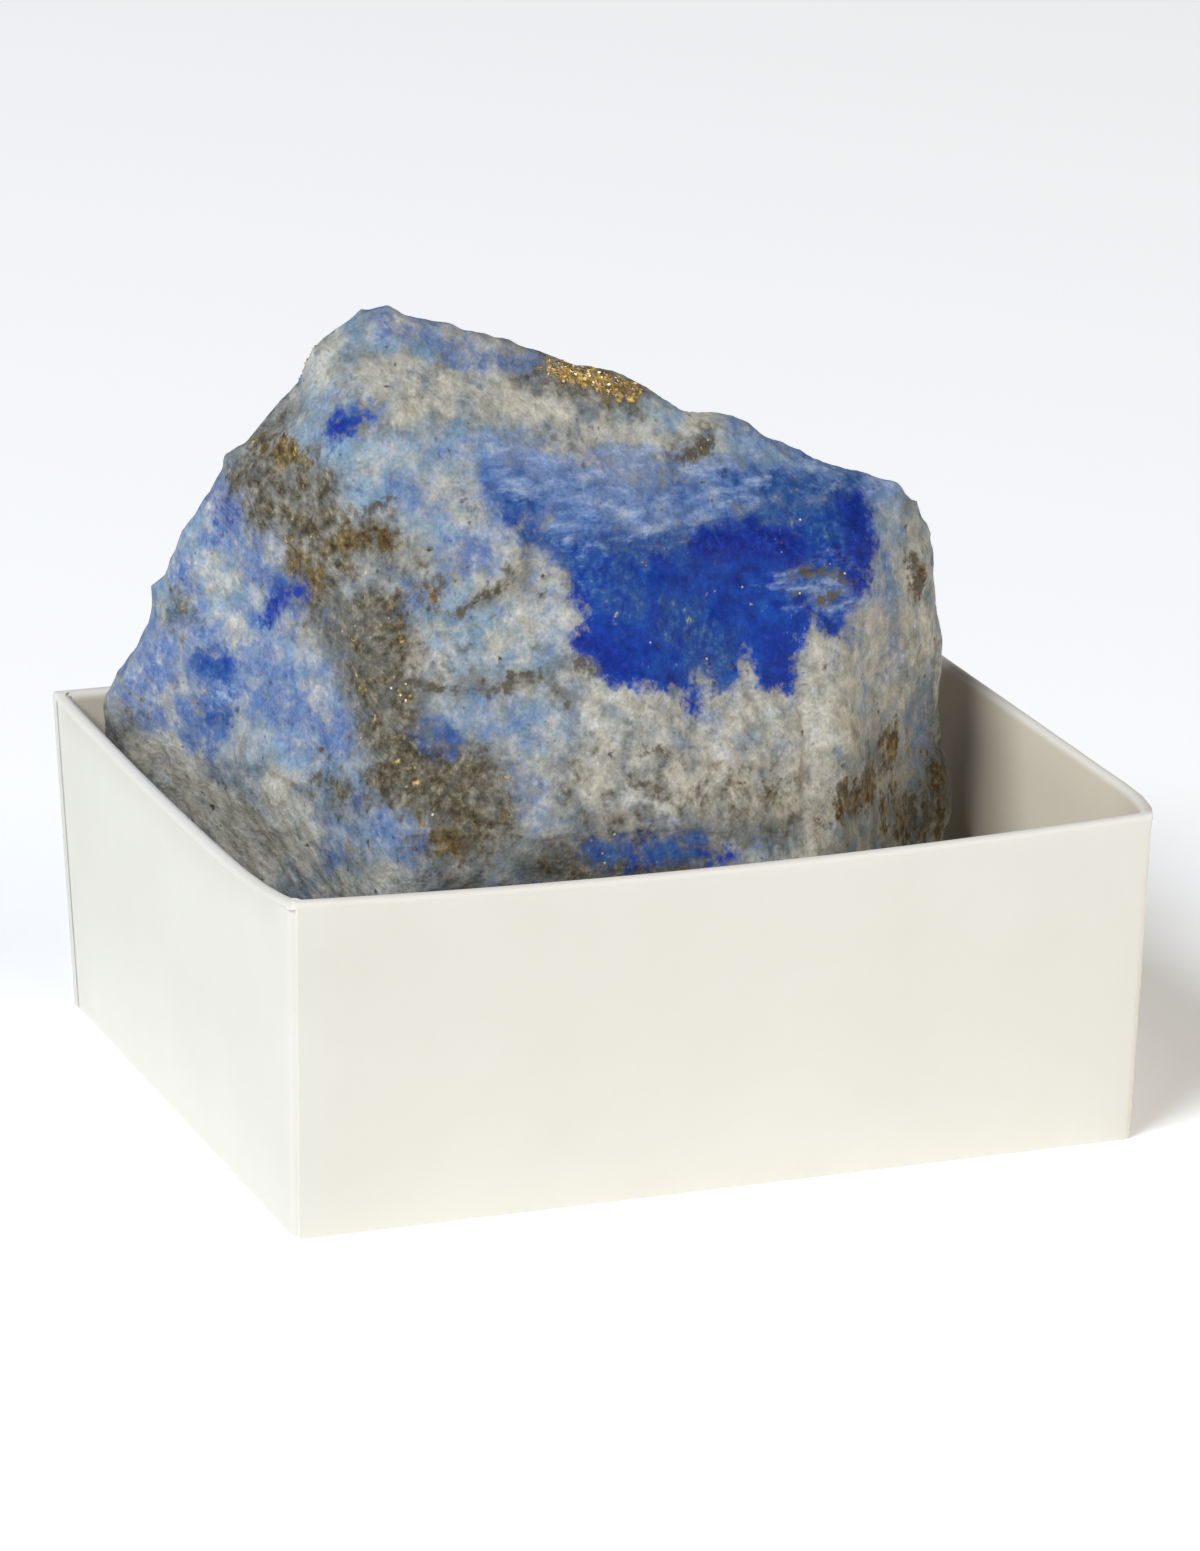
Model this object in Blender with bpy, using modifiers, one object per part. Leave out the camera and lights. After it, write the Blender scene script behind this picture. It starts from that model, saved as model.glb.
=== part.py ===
"""A piece of rough lapis lazuli standing in its white folding card tray.

Blender 4.5, metres, +Z up. The origin is the centre of the tray's underside,
+X runs along the tray's long front wall and +Y away from whoever looks at the
front. The stone is one block, knocked off along named fracture planes and then
worn: swollen, hollowed, stepped and pitted. The tray is one folded card blank.
"""

import math
from typing import NamedTuple

import bmesh
import bpy
from mathutils import Vector, noise

MM = 0.001

# Tray, in millimetres. The walls lean out a little as they rise.
RIM_LENGTH = 56.0
RIM_DEPTH = 44.3
TRAY_HEIGHT = 20.2
LEAN_LEFT = 1.05
LEAN_RIGHT = 1.95
LEAN_FRONT = 1.7
LEAN_BACK = 1.5
DOUBLE_WALL = 1.2
SINGLE_WALL = 0.9
FLOOR = 1.0
BASE_EDGE = 0.3
RIM_ROLL = 0.4
ROLL_STEPS = 6
CORNER_STEPS = 3
WALL_STEPS = 8
BASE_CORNER = 0.5
RIM_CORNERS = {"back_right": 1.4, "back_left": 0.7, "front_left": 0.6, "front_right": 0.7}
INNER_CORNER_LEAST = 0.3
# The middle of the front wall's rim is drawn in and the left wall's rim bows out.
# Over a short stretch behind the front wall, the right wall's rim is pulled in to
# meet it, and the rims rise to the two front corners.
FRONT_DRAWN_IN = 0.35
LEFT_BOWED_OUT = 0.5
RIGHT_PULLED_IN = 2.6
CORNER_RISE = 0.8
PULL_LENGTH = 9.0
# The card's look.
CARD_COLOUR = (0.80, 0.79, 0.72)
CARD_ROUGHNESS = 0.75

# Stone, in millimetres. Its flat spot stands a hair above the tray's floor.
REST_GAP = 0.3
HEART = Vector((0.0, 0.0, 20.0))
BLOCK = 90.0
GRAIN = 1.45
MERGE_DISTANCE = 0.01
ROCK_COLOUR = (0.16, 0.22, 0.42)
ROCK_ROUGHNESS = 0.6

# Edges between facets that turn by more than this many degrees stay crisp.
CRISP_ANGLE = 35


class Fracture(NamedTuple):
    """A flat break: the way it faces, its rise above level, and its reach from the heart."""

    bearing: float
    rise: float
    reach: float


class Relief(NamedTuple):
    """A round swelling, or with a negative height a hollow, on the worn surface."""

    centre: tuple
    radius: float
    height: float


class Ledge(NamedTuple):
    """A low step: the surface on the side that the bearing faces stands lower."""

    centre: tuple
    bearing: float
    rise: float
    spread: float
    drop: float


FRACTURES = {
    "front_right": Fracture(-71, 31, 14.1),
    "front_left": Fracture(-90, 30, 15.6),
    "upper_front": Fracture(-60, 53.5, 16.7),
    "left_end": Fracture(-168, 7, 22.5),
    "left_shoulder": Fracture(-135, 25, 25.0),
    "right_end": Fracture(-40, 7, 15.7),
    "right_back": Fracture(28, 6, 23.2),
    "crest_back": Fracture(74, 31, 15.7),
    "crest_blunt": Fracture(44, 60, 21.1),
    "back": Fracture(95, 12, 17.6),
    "back_left": Fracture(124, 32, 25.8),
    "peak_shoulder": Fracture(176, 34, 28.7),
    "peak_cap": Fracture(-158, 58, 30.2),
    "under_front": Fracture(-95, -28, 17.2),
    "under_left": Fracture(-170, -15, 22.0),
    "under_right": Fracture(0, -25, 25.1),
    "under_back": Fracture(92, -30, 19.2),
}

RELIEFS = {
    "notch_below_peak": Relief((-19.2, 5.3, 42.6), 3.4, -1.3),
    "peak_knob": Relief((-17.8, 4.8, 45.0), 3.2, 0.9),
    "right_top_corner": Relief((22.4, 3.0, 31.0), 5.5, 0.5),
    "crest_swelling": Relief((0.4, 4.3, 42.7), 8.0, 0.6),
    "crest_dip": Relief((5.6, 4.1, 40.5), 3.0, -0.8),
    "crest_knob": Relief((7.9, 4.1, 39.8), 4.5, 0.6),
    "left_swelling": Relief((-24.8, 11.1, 29.5), 7.0, 0.6),
    "left_foot": Relief((-26.0, 16.5, 23.0), 6.0, 0.9),
    "left_heel": Relief((-25.5, 17.0, 19.0), 6.5, 1.7),
    "front_scallop": Relief((-9.0, -12.0, 32.0), 7.0, -0.7),
    "front_belly": Relief((-13.0, -15.5, 25.0), 8.0, 0.6),
    "blue_dish": Relief((3.0, -11.0, 30.5), 8.0, -0.6),
    "right_edge_dish": Relief((16.0, -8.0, 27.0), 6.0, -0.5),
    "right_end_swelling": Relief((21.5, -1.0, 27.0), 7.0, 0.5),
    "back_scallop_high": Relief((2.0, 12.0, 33.0), 11.0, -1.8),
    "back_scallop_low": Relief((-12.0, 17.5, 20.0), 10.0, -1.3),
    "back_knob": Relief((9.0, 17.0, 22.0), 7.0, 1.0),
    "back_corner_chip": Relief((20.0, 12.0, 18.0), 7.0, -1.6),
}

LEDGES = {
    "left_band_step": Ledge((-19.0, -8.0, 37.0), -150, 0, 9.0, 0.5),
    "back_step": Ledge((-4.0, 14.0, 27.0), 60, -60, 13.0, 1.1),
    "right_back_step": Ledge((22.0, 7.0, 20.0), 30, -60, 8.0, 0.8),
}

# Weathering: waves in the surface, from broad to fine, as (length, height), each
# taken from its own place in the noise, and pits where the noise passes a limit.
WAVES = ((9.0, 0.45), (4.2, 0.25), (2.4, 0.14))
WAVE_SHIFT = Vector((7.3, 3.1, 5.7))
PIT_SPACING = 4.6
PIT_SHIFT = Vector((11.0, 4.0, 2.0))
PIT_LIMIT = 0.25
PIT_DEPTH = 0.9


def facing(bearing, rise):
    """The unit direction with this bearing from +X and this rise, in degrees."""
    turn, lift = math.radians(bearing), math.radians(rise)
    level = math.cos(lift)
    return Vector((level * math.cos(turn), level * math.sin(turn), math.sin(lift)))


def falloff(distance, radius):
    """One at the centre, falling smoothly to nothing at the radius."""
    if distance >= radius:
        return 0.0
    share = 1.0 - (distance / radius) ** 2
    return share * share


def clear_scene():
    """Remove every object that the scene starts with."""
    for obj in list(bpy.data.objects):
        bpy.data.objects.remove(obj, do_unlink=True)


def material(name, colour, roughness):
    """A Principled material of one colour."""
    made = bpy.data.materials.new(name)
    made.use_nodes = True
    shader = made.node_tree.nodes["Principled BSDF"]
    shader.inputs["Base Color"].default_value = (*colour, 1.0)
    shader.inputs["Roughness"].default_value = roughness
    shader.inputs["Metallic"].default_value = 0.0
    made.diffuse_color = (*colour, 1.0)
    return made


def object_from(bm, name, collection, finish):
    """Write the bmesh, in millimetres, to a new object in metres and free it."""
    bmesh.ops.scale(bm, vec=(MM, MM, MM), verts=bm.verts)
    bmesh.ops.recalc_face_normals(bm, faces=bm.faces)
    mesh = bpy.data.meshes.new(name)
    bm.to_mesh(mesh)
    bm.free()
    mesh.materials.append(finish)
    obj = bpy.data.objects.new(name, mesh)
    collection.objects.link(obj)
    return obj


def wall_lines(height, share):
    """Where the four walls stand at this height, this share of the way through them."""
    rise = 1.0 - height / TRAY_HEIGHT
    sides = SINGLE_WALL * share
    ends = DOUBLE_WALL * share
    left = -RIM_LENGTH / 2 + LEAN_LEFT * rise + sides
    right = RIM_LENGTH / 2 - LEAN_RIGHT * rise - sides
    front = -RIM_DEPTH / 2 + LEAN_FRONT * rise + ends
    back = RIM_DEPTH / 2 - LEAN_BACK * rise - ends
    return left, right, front, back


def corner_arc(name, x, y, start, height, share):
    """The curve round one corner of the tray, from one wall's line to the next."""
    at_rim = height / TRAY_HEIGHT
    outer = BASE_CORNER + (RIM_CORNERS[name] - BASE_CORNER) * at_rim
    radius = max(outer - SINGLE_WALL * share, INNER_CORNER_LEAST)
    middle = math.radians(start + 45)
    centre_x = x - math.copysign(radius, math.cos(middle))
    centre_y = y - math.copysign(radius, math.sin(middle))
    turns = [math.radians(start + 90 * step / CORNER_STEPS) for step in range(CORNER_STEPS + 1)]
    return [Vector((centre_x + radius * math.cos(t), centre_y + radius * math.sin(t), height)) for t in turns]


def bowed(point, front):
    """The point moved as the card bows: the walls drawn in or bowed out, and the front corners raised."""
    at_rim = point.z / TRAY_HEIGHT
    across = point.x / (RIM_LENGTH / 2)
    along = point.y / (RIM_DEPTH / 2)
    near_end = max(0.0, 1.0 - (point.y - front) / PULL_LENGTH) ** 2
    if point.y < 0.0:
        point.y += FRONT_DRAWN_IN * max(0.0, 1.0 - across**2) * at_rim * point.y / front
    if across < 0.0:
        point.x += LEFT_BOWED_OUT * max(0.0, 1.0 - along**2) * at_rim * across
    else:
        point.x -= RIGHT_PULLED_IN * near_end * at_rim * across
    point.z += CORNER_RISE * near_end * at_rim * across**2
    return point


def tray_outline(height, share):
    """A rectangle with rounded corners and bowed walls, as points in order around the tray."""
    left, right, front, back = wall_lines(height, share)
    arcs = [
        corner_arc("back_right", right, back, 0, height, share),
        corner_arc("back_left", left, back, 90, height, share),
        corner_arc("front_left", left, front, 180, height, share),
        corner_arc("front_right", right, front, 270, height, share),
    ]
    points = []
    for arc, following in zip(arcs, arcs[1:] + arcs[:1]):
        points += arc
        for step in range(1, WALL_STEPS):
            points.append(arc[-1].lerp(following[0], step / WALL_STEPS))
    return [bowed(point, front) for point in points]


def tray_stations():
    """The card's section as (height, share of the way through the wall), from under the floor up, over and down."""
    stations = [(0.0, BASE_EDGE), (BASE_EDGE, 0.0)]
    for step in range(ROLL_STEPS + 1):
        turn = math.pi * step / ROLL_STEPS
        height = TRAY_HEIGHT - RIM_ROLL + RIM_ROLL * math.sin(turn)
        stations.append((height, 0.5 - 0.5 * math.cos(turn)))
    stations += [(FLOOR + BASE_EDGE, 1.0), (FLOOR, 1.0 + BASE_EDGE)]
    return stations


def make_tray(collection):
    """The card tray: one loft from under the floor, over the rolled rim, to the floor inside."""
    bm = bmesh.new()
    rings = []
    for height, share in tray_stations():
        verts = [bm.verts.new(point) for point in tray_outline(height, share)]
        edges = [bm.edges.new((a, b)) for a, b in zip(verts, verts[1:] + verts[:1])]
        rings.append(edges)
    for lower, upper in zip(rings, rings[1:]):
        bmesh.ops.bridge_loops(bm, edges=lower + upper)
    for end in (rings[0], rings[-1]):
        bmesh.ops.contextual_create(bm, geom=end)
    card = material("white_card", CARD_COLOUR, CARD_ROUGHNESS)
    return object_from(bm, "card_tray", collection, card)


def knocked_block(rest):
    """A block cut back to each fracture plane and to the flat spot that it rests on."""
    bm = bmesh.new()
    bmesh.ops.create_cube(bm, size=BLOCK)
    bmesh.ops.translate(bm, vec=HEART, verts=bm.verts)
    cuts = [(facing(f.bearing, f.rise), f.reach) for f in FRACTURES.values()]
    cuts.append((Vector((0.0, 0.0, -1.0)), HEART.z - rest))
    for direction, reach in cuts:
        geometry = bm.verts[:] + bm.edges[:] + bm.faces[:]
        bmesh.ops.bisect_plane(
            bm, geom=geometry, plane_co=HEART + direction * reach, plane_no=direction, clear_outer=True
        )
        rim = [edge for edge in bm.edges if edge.is_boundary]
        bmesh.ops.contextual_create(bm, geom=rim)
    bmesh.ops.remove_doubles(bm, verts=bm.verts, dist=MERGE_DISTANCE)
    return bm


def worn_height(point):
    """How far the worn surface stands proud of the fractures at this point."""
    height = 0.0
    for relief in RELIEFS.values():
        height += relief.height * falloff((point - Vector(relief.centre)).length, relief.radius)
    for ledge in LEDGES.values():
        away = point - Vector(ledge.centre)
        below = away.dot(facing(ledge.bearing, ledge.rise))
        step = 0.5 + 0.5 * math.tanh(below / GRAIN)
        height -= ledge.drop * step * falloff(away.length, ledge.spread)
    for order, (length, size) in enumerate(WAVES):
        height += size * noise.noise(point / length + order * WAVE_SHIFT)
    pits = noise.noise(point / PIT_SPACING + PIT_SHIFT)
    return height - PIT_DEPTH * max(0.0, pits - PIT_LIMIT)


def make_stone(collection, guides):
    """The stone: the knocked block, remeshed to an even grain and worn."""
    rest = FLOOR + REST_GAP
    rock = material("rough_lapis_lazuli", ROCK_COLOUR, ROCK_ROUGHNESS)
    block = object_from(knocked_block(rest), "fracture_block", guides, rock)
    grain = block.modifiers.new("even_grain", "REMESH")
    grain.mode = "VOXEL"
    grain.voxel_size = GRAIN * MM
    graph = bpy.context.evaluated_depsgraph_get()
    mesh = bpy.data.meshes.new_from_object(block.evaluated_get(graph))
    bpy.data.objects.remove(block, do_unlink=True)
    bm = bmesh.new()
    bm.from_mesh(mesh)
    bpy.data.meshes.remove(mesh)
    bmesh.ops.scale(bm, vec=(1 / MM, 1 / MM, 1 / MM), verts=bm.verts)
    bm.normal_update()
    moves = [vert.normal * worn_height(vert.co) for vert in bm.verts]
    for vert, move in zip(bm.verts, moves):
        vert.co += move
        if vert.co.z < rest + GRAIN / 2:
            vert.co.z = rest
    bmesh.ops.triangulate(bm, faces=bm.faces)
    return object_from(bm, "lapis_stone", collection, rock)


def main():
    """Make the tray and the stone in the object's own collection, with the block among the guides."""
    clear_scene()
    parts = bpy.data.collections.new("rough_lapis_lazuli")
    guides = bpy.data.collections.new("guides")
    for collection in (parts, guides):
        bpy.context.scene.collection.children.link(collection)
    tray = make_tray(parts)
    stone = make_stone(parts, guides)
    for obj in (tray, stone):
        obj.data.shade_smooth()
        obj.data.set_sharp_from_angle(angle=math.radians(CRISP_ANGLE))


main()
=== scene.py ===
"""A piece of rough lapis lazuli standing in its white folding card tray.

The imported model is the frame: the stone's and the tray's solids give their sizes and
places. Here the stone gets its fine worn surface, its minerals and its pyrite grains,
and the tray is folded again from card with its rolled rims, corner folds and cut ends.

Sizes are in millimetres in the part's own frame, +Z up, unless a name says otherwise.
Marks that were read off the photograph are in its own pixels, 1200 by 1551, and are
laid on the stone once, through the camera that took it, so they stay on the surface.
"""

from __future__ import annotations

import logging
import math
import random
from collections.abc import Callable
from dataclasses import dataclass, field
from enum import Enum

import bpy
import numpy as np
from mathutils import Euler, Matrix, Vector, noise


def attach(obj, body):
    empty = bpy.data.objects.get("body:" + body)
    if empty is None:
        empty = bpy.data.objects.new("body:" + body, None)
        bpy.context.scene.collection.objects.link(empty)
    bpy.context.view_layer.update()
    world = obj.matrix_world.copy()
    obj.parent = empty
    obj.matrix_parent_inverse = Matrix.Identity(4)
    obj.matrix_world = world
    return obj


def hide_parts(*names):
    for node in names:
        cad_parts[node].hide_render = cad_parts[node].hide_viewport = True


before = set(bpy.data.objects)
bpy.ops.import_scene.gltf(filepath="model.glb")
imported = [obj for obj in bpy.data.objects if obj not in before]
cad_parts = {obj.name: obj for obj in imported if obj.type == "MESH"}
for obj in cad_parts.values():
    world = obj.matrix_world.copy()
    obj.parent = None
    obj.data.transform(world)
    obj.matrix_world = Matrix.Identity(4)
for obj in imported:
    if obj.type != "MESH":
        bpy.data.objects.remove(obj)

LOG = logging.getLogger("rough_lapis_lazuli")
MM = 0.001

Pixel = tuple[float, float]
Point = tuple[float, float, float]
Limits = tuple[float, float]
Stops = tuple[tuple[float, str], ...]
Tree = bpy.types.NodeTree
Socket = bpy.types.NodeSocket


class Mineral(Enum):
    """What a mark on the stone is made of. The value names the mesh attribute that holds its depth. Crack
    shade is no mineral but painted shade: dark lines in cracks and slits and under ledges.
    """

    LAZURITE = "lazurite_depth"
    AZURE = "azure_depth"
    HAZE = "haze_depth"
    CALCITE = "calcite_depth"
    UMBER = "umber_depth"
    SLATE = "slate_depth"
    TEAL = "teal_depth"
    RUST = "rust_depth"
    FROST = "frost_depth"
    NAVY = "navy_depth"
    # Painted shade: dark lines in cracks and slits and under ledges, with some of the rock's own dark
    # spots.
    CRACK = "crack_shade_depth"
    PYRITE = "pyrite_depth"


def linear(hex_colour: str) -> tuple[float, float, float, float]:
    """Turn an sRGB hex colour into a linear one with full alpha.

    Args:
        hex_colour: Six hex digits, with or without a leading hash.

    Returns:
        Red, green, blue and alpha, from 0 to 1.
    """
    digits = hex_colour.lstrip("#")
    channels = [int(digits[at : at + 2], 16) / 255 for at in (0, 2, 4)]
    red, green, blue = (c / 12.92 if c <= 0.04045 else ((c + 0.055) / 1.055) ** 2.4 for c in channels)
    return red, green, blue, 1.0


def add_node(
    tree: Tree,
    kind: str,
    inputs: dict[str | int, object] | None = None,
    stops: Stops = (),
    **settings: object,
) -> bpy.types.Node:
    """Add a node with its settings, its socket values and the links that feed it.

    Args:
        tree: The node tree to add to.
        kind: Blender's name for the kind of node.
        inputs: Socket name or number to a value, or to the output socket that feeds it.
        stops: A colour ramp's stops, as place along the ramp and sRGB hex colour.
        **settings: Properties of the node itself.

    Returns:
        The new node.
    """
    made = tree.nodes.new(kind)
    for name, value in settings.items():
        setattr(made, name, value)
    for key, value in (inputs or {}).items():
        if isinstance(value, Socket):
            tree.links.new(value, made.inputs[key])
        else:
            made.inputs[key].default_value = value
    for number, (place, colour) in enumerate(stops):
        elements = made.color_ramp.elements
        element = elements[number] if number < len(elements) else elements.new(place)
        element.position = place
        element.color = linear(colour)
    return made


def new_material(name: str, **values: object) -> tuple[bpy.types.Material, Tree, bpy.types.Node]:
    """Make a material with nodes.

    Args:
        name: What the material is and how its surface was made.
        **values: The Principled shader's own values, with _ for each space in a socket's name.

    Returns:
        The material, its node tree and its Principled shader.
    """
    material = bpy.data.materials.new(name)
    material.use_nodes = True
    shader = material.node_tree.nodes["Principled BSDF"]
    for socket, value in values.items():
        shader.inputs[socket.replace("_", " ")].default_value = value
    return material, material.node_tree, shader


def paint_over(
    tree: Tree, below: Socket | tuple[float, ...], cover: Socket, tint: Socket, stops: Stops,
) -> Socket:
    """Lay the colours that a noise picks from the stops over those below, where the cover is 1."""
    above = add_node(tree, "ShaderNodeValToRGB", {"Fac": tint}, stops).outputs["Color"]
    return add_node(tree, "ShaderNodeMix", {0: cover, 6: below, 7: above}, data_type="RGBA").outputs[2]


def only(obj: bpy.types.Object) -> None:
    """Select one object alone and make it the active one.

    Args:
        obj: The object to select.
    """
    bpy.ops.object.select_all(action="DESELECT")
    obj.select_set(True)
    bpy.context.view_layer.objects.active = obj


def apply_modifier(obj: bpy.types.Object, kind: str, **settings: object) -> None:
    """Add one modifier to the object and apply it.

    Args:
        obj: The object to change.
        kind: Blender's name for the kind of modifier.
        **settings: Properties of the modifier.
    """
    only(obj)
    modifier = obj.modifiers.new(kind.lower(), kind)
    for name, value in settings.items():
        setattr(modifier, name, value)
    bpy.ops.object.modifier_apply(modifier=modifier.name)


def dress(obj: bpy.types.Object, material: bpy.types.Material) -> None:
    """Give the object this one material."""
    obj.data.materials.clear()
    obj.data.materials.append(material)


def read_rows(mesh: bpy.types.Mesh, name: str) -> np.ndarray:
    """Read one of the vertices' vectors.

    Args:
        mesh: The mesh to read.
        name: Blender's name for the vector, such as co or normal.

    Returns:
        The vectors, one row each.
    """
    flat = np.empty(len(mesh.vertices) * 3, np.float32)
    mesh.vertices.foreach_get(name, flat)
    return flat.reshape(-1, 3).astype(float)


def places_of(mesh: bpy.types.Mesh) -> np.ndarray:
    """The vertices' places in millimetres, one row each."""
    return read_rows(mesh, "co") / MM


def normals_of(mesh: bpy.types.Mesh) -> np.ndarray:
    """The vertices' unit normals, one row each."""
    return read_rows(mesh, "normal")


def put_places(mesh: bpy.types.Mesh, places: np.ndarray) -> None:
    """Move the mesh's vertices to these places, in millimetres."""
    mesh.vertices.foreach_set("co", (places * MM).astype(np.float32).ravel())
    mesh.update()


def smoothstep(low: float, high: float, values: np.ndarray) -> np.ndarray:
    """Rise smoothly from 0 at low to 1 at high."""
    share = np.clip((values - low) / (high - low), 0.0, 1.0)
    return share * share * (3.0 - 2.0 * share)


def beside(pixels: np.ndarray, start: np.ndarray, end: np.ndarray) -> tuple[np.ndarray, np.ndarray]:
    """Measure pixels against one straight leg of a line.

    Args:
        pixels: Across and down, one row each.
        start: The leg's first pixel.
        end: Its last one.

    Returns:
        Each pixel's nearest place on the leg, as a share of its length, and its distance from it.
    """
    along = end - start
    away = pixels - start
    share = np.clip(away @ along / float(along @ along), 0.0, 1.0)
    return share, np.linalg.norm(away - share[:, None] * along, axis=1)


def distance_to(points: tuple[Pixel, ...], pixels: np.ndarray) -> np.ndarray:
    """Each pixel's distance from the line through these points."""
    ends = np.array(points, float)
    return np.min([beside(pixels, start, end)[1] for start, end in zip(ends, ends[1:])], axis=0)


@dataclass(frozen=True)
class PhotoCamera:
    """The camera that took the photograph, as found from the tray's edges."""

    place: Point = (-158.48, -388.88, 157.14)
    yaw: float = 22.1
    pitch: float = 18.22
    roll: float = 1.59
    focal_pixels: float = 7354.2
    width: int = 1200
    height: int = 1551
    sensor: float = 36.0
    near_clip: float = 50.0
    stone_middle: Point = (0.0, 0.0, 20.0)

    def axes(self) -> tuple[Vector, Vector, Vector]:
        """Turn the camera as it stood.

        Returns:
            The directions that are right, up and forward in the photograph.
        """
        turned = Matrix.Rotation(math.radians(-self.yaw), 3, "Z")
        tipped = turned @ Matrix.Rotation(math.radians(90.0 - self.pitch), 3, "X")
        rolled = tipped @ Matrix.Rotation(math.radians(self.roll), 3, "Z")
        return rolled.col[0].copy(), rolled.col[1].copy(), -rolled.col[2]

    def pixels(self, places: np.ndarray) -> np.ndarray:
        """Find where the photograph shows these places.

        Args:
            places: Points in millimetres, one row each.

        Returns:
            The pixel that each falls on, across and down, one row each.
        """
        right, up, forward = (np.array(axis) for axis in self.axes())
        away = places - np.array(self.place)
        depth = away @ forward
        across = self.width / 2 + self.focal_pixels * (away @ right) / depth
        down = self.height / 2 - self.focal_pixels * (away @ up) / depth
        return np.column_stack([across, down])

    def pixels_per_mm(self) -> float:
        """The photograph's scale at the stone."""
        away = Vector(self.stone_middle) - Vector(self.place)
        return self.focal_pixels / away.dot(self.axes()[2])

    def make(self) -> bpy.types.Object:
        """Put the camera in the scene and make it the scene's own.

        Returns:
            The camera.
        """
        data = bpy.data.cameras.new("photo_camera")
        data.sensor_width = self.sensor
        data.lens = self.focal_pixels * self.sensor / max(self.width, self.height)
        data.clip_start = self.near_clip * MM
        camera = bpy.data.objects.new("photo_camera", data)
        right, up, forward = self.axes()
        turn = Matrix((right, up, -forward)).transposed()
        camera.matrix_world = Matrix.Translation(Vector(self.place) * MM) @ turn.to_4x4()
        bpy.context.scene.collection.objects.link(camera)
        bpy.context.scene.camera = camera
        return camera


@dataclass(frozen=True)
class Stroke:
    """A mark drawn along a line: how wide it is each side of the line, and how solid.

    The points and the width are in photograph pixels. Solid is the greatest depth in
    millimetres that the mark counts as having: a low one lets the rock show through.
    """

    points: tuple[Pixel, ...]
    width: float
    solid: float = 1.0

    def depth(self, pixels: np.ndarray, scale: float) -> np.ndarray:
        """How deep inside the mark each pixel lies, in millimetres, and below zero outside it."""
        return np.minimum((self.width - distance_to(self.points, pixels)) / scale, self.solid)


@dataclass(frozen=True)
class Outline:
    """A mark with a drawn outline, in photograph pixels. Solid is as in a stroke."""

    points: tuple[Pixel, ...]
    solid: float = 3.0

    def depth(self, pixels: np.ndarray, scale: float) -> np.ndarray:
        """Measure how deep inside the mark each pixel lies.

        Args:
            pixels: Across and down, one row each.
            scale: The photograph's pixels to a millimetre.

        Returns:
            The depths in millimetres, below zero outside the mark.
        """
        closed = self.points + self.points[:1]
        nearest = distance_to(closed, pixels)
        inside = np.zeros(len(pixels), bool)
        for (left, top), (right, bottom) in zip(closed, closed[1:]):
            if top != bottom:
                spans = (top > pixels[:, 1]) != (bottom > pixels[:, 1])
                crossing = left + (pixels[:, 1] - top) * (right - left) / (bottom - top)
                inside ^= spans & (pixels[:, 0] < crossing)
        return np.minimum(np.where(inside, nearest, -nearest) / scale, self.solid)


@dataclass(frozen=True)
class Swell:
    """A place where the outline is filled out or worn back, drawn along a line in photograph pixels."""

    points: tuple[Pixel, ...]
    width: float
    height: float

    def lift(self, pixels: np.ndarray) -> np.ndarray:
        """How far each place is lifted, in millimetres."""
        return self.height * smoothstep(self.width, 0.0, distance_to(self.points, pixels))


@dataclass(frozen=True)
class Ledge:
    """A broken edge in the surface, drawn along a line in photograph pixels.

    The rock on the left of the line, as it is drawn, stands higher by this height in
    millimetres, and falls back to the surface over the run. The step itself is as wide
    as the edge each side of the line, and it fades out over a share of the line at each end.
    """

    points: tuple[Pixel, ...]
    height: float
    run: float
    edge: float = 0.25
    fade: float = 0.25

    def lift(self, pixels: np.ndarray, scale: float) -> np.ndarray:
        """Measure how far the ledge lifts each place.

        Args:
            pixels: Across and down, one row each.
            scale: The photograph's pixels to a millimetre.

        Returns:
            The heights in millimetres.
        """
        nearest = np.full(len(pixels), np.inf)
        side = np.zeros(len(pixels))
        reach = np.zeros(len(pixels))
        ends = np.array(self.points, float)
        lengths = np.linalg.norm(np.diff(ends, axis=0), axis=1)
        gone = 0.0
        for start, end, length in zip(ends, ends[1:], lengths):
            share, distance = beside(pixels, start, end)
            closer = distance < nearest
            nearest = np.where(closer, distance, nearest)
            along = end - start
            away = pixels - start
            turn = along[1] * away[:, 0] - along[0] * away[:, 1]
            side = np.where(closer, np.where(turn > 0, 1.0, -1.0), side)
            reach = np.where(closer, (gone + share * length) / lengths.sum(), reach)
            gone += length
        signed = side * nearest / scale
        ended = smoothstep(0.0, self.fade, reach) * smoothstep(1.0, 1.0 - self.fade, reach)
        rise = smoothstep(-self.edge, self.edge, signed) * smoothstep(self.run, self.edge, signed)
        return self.height * rise * ended
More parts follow.
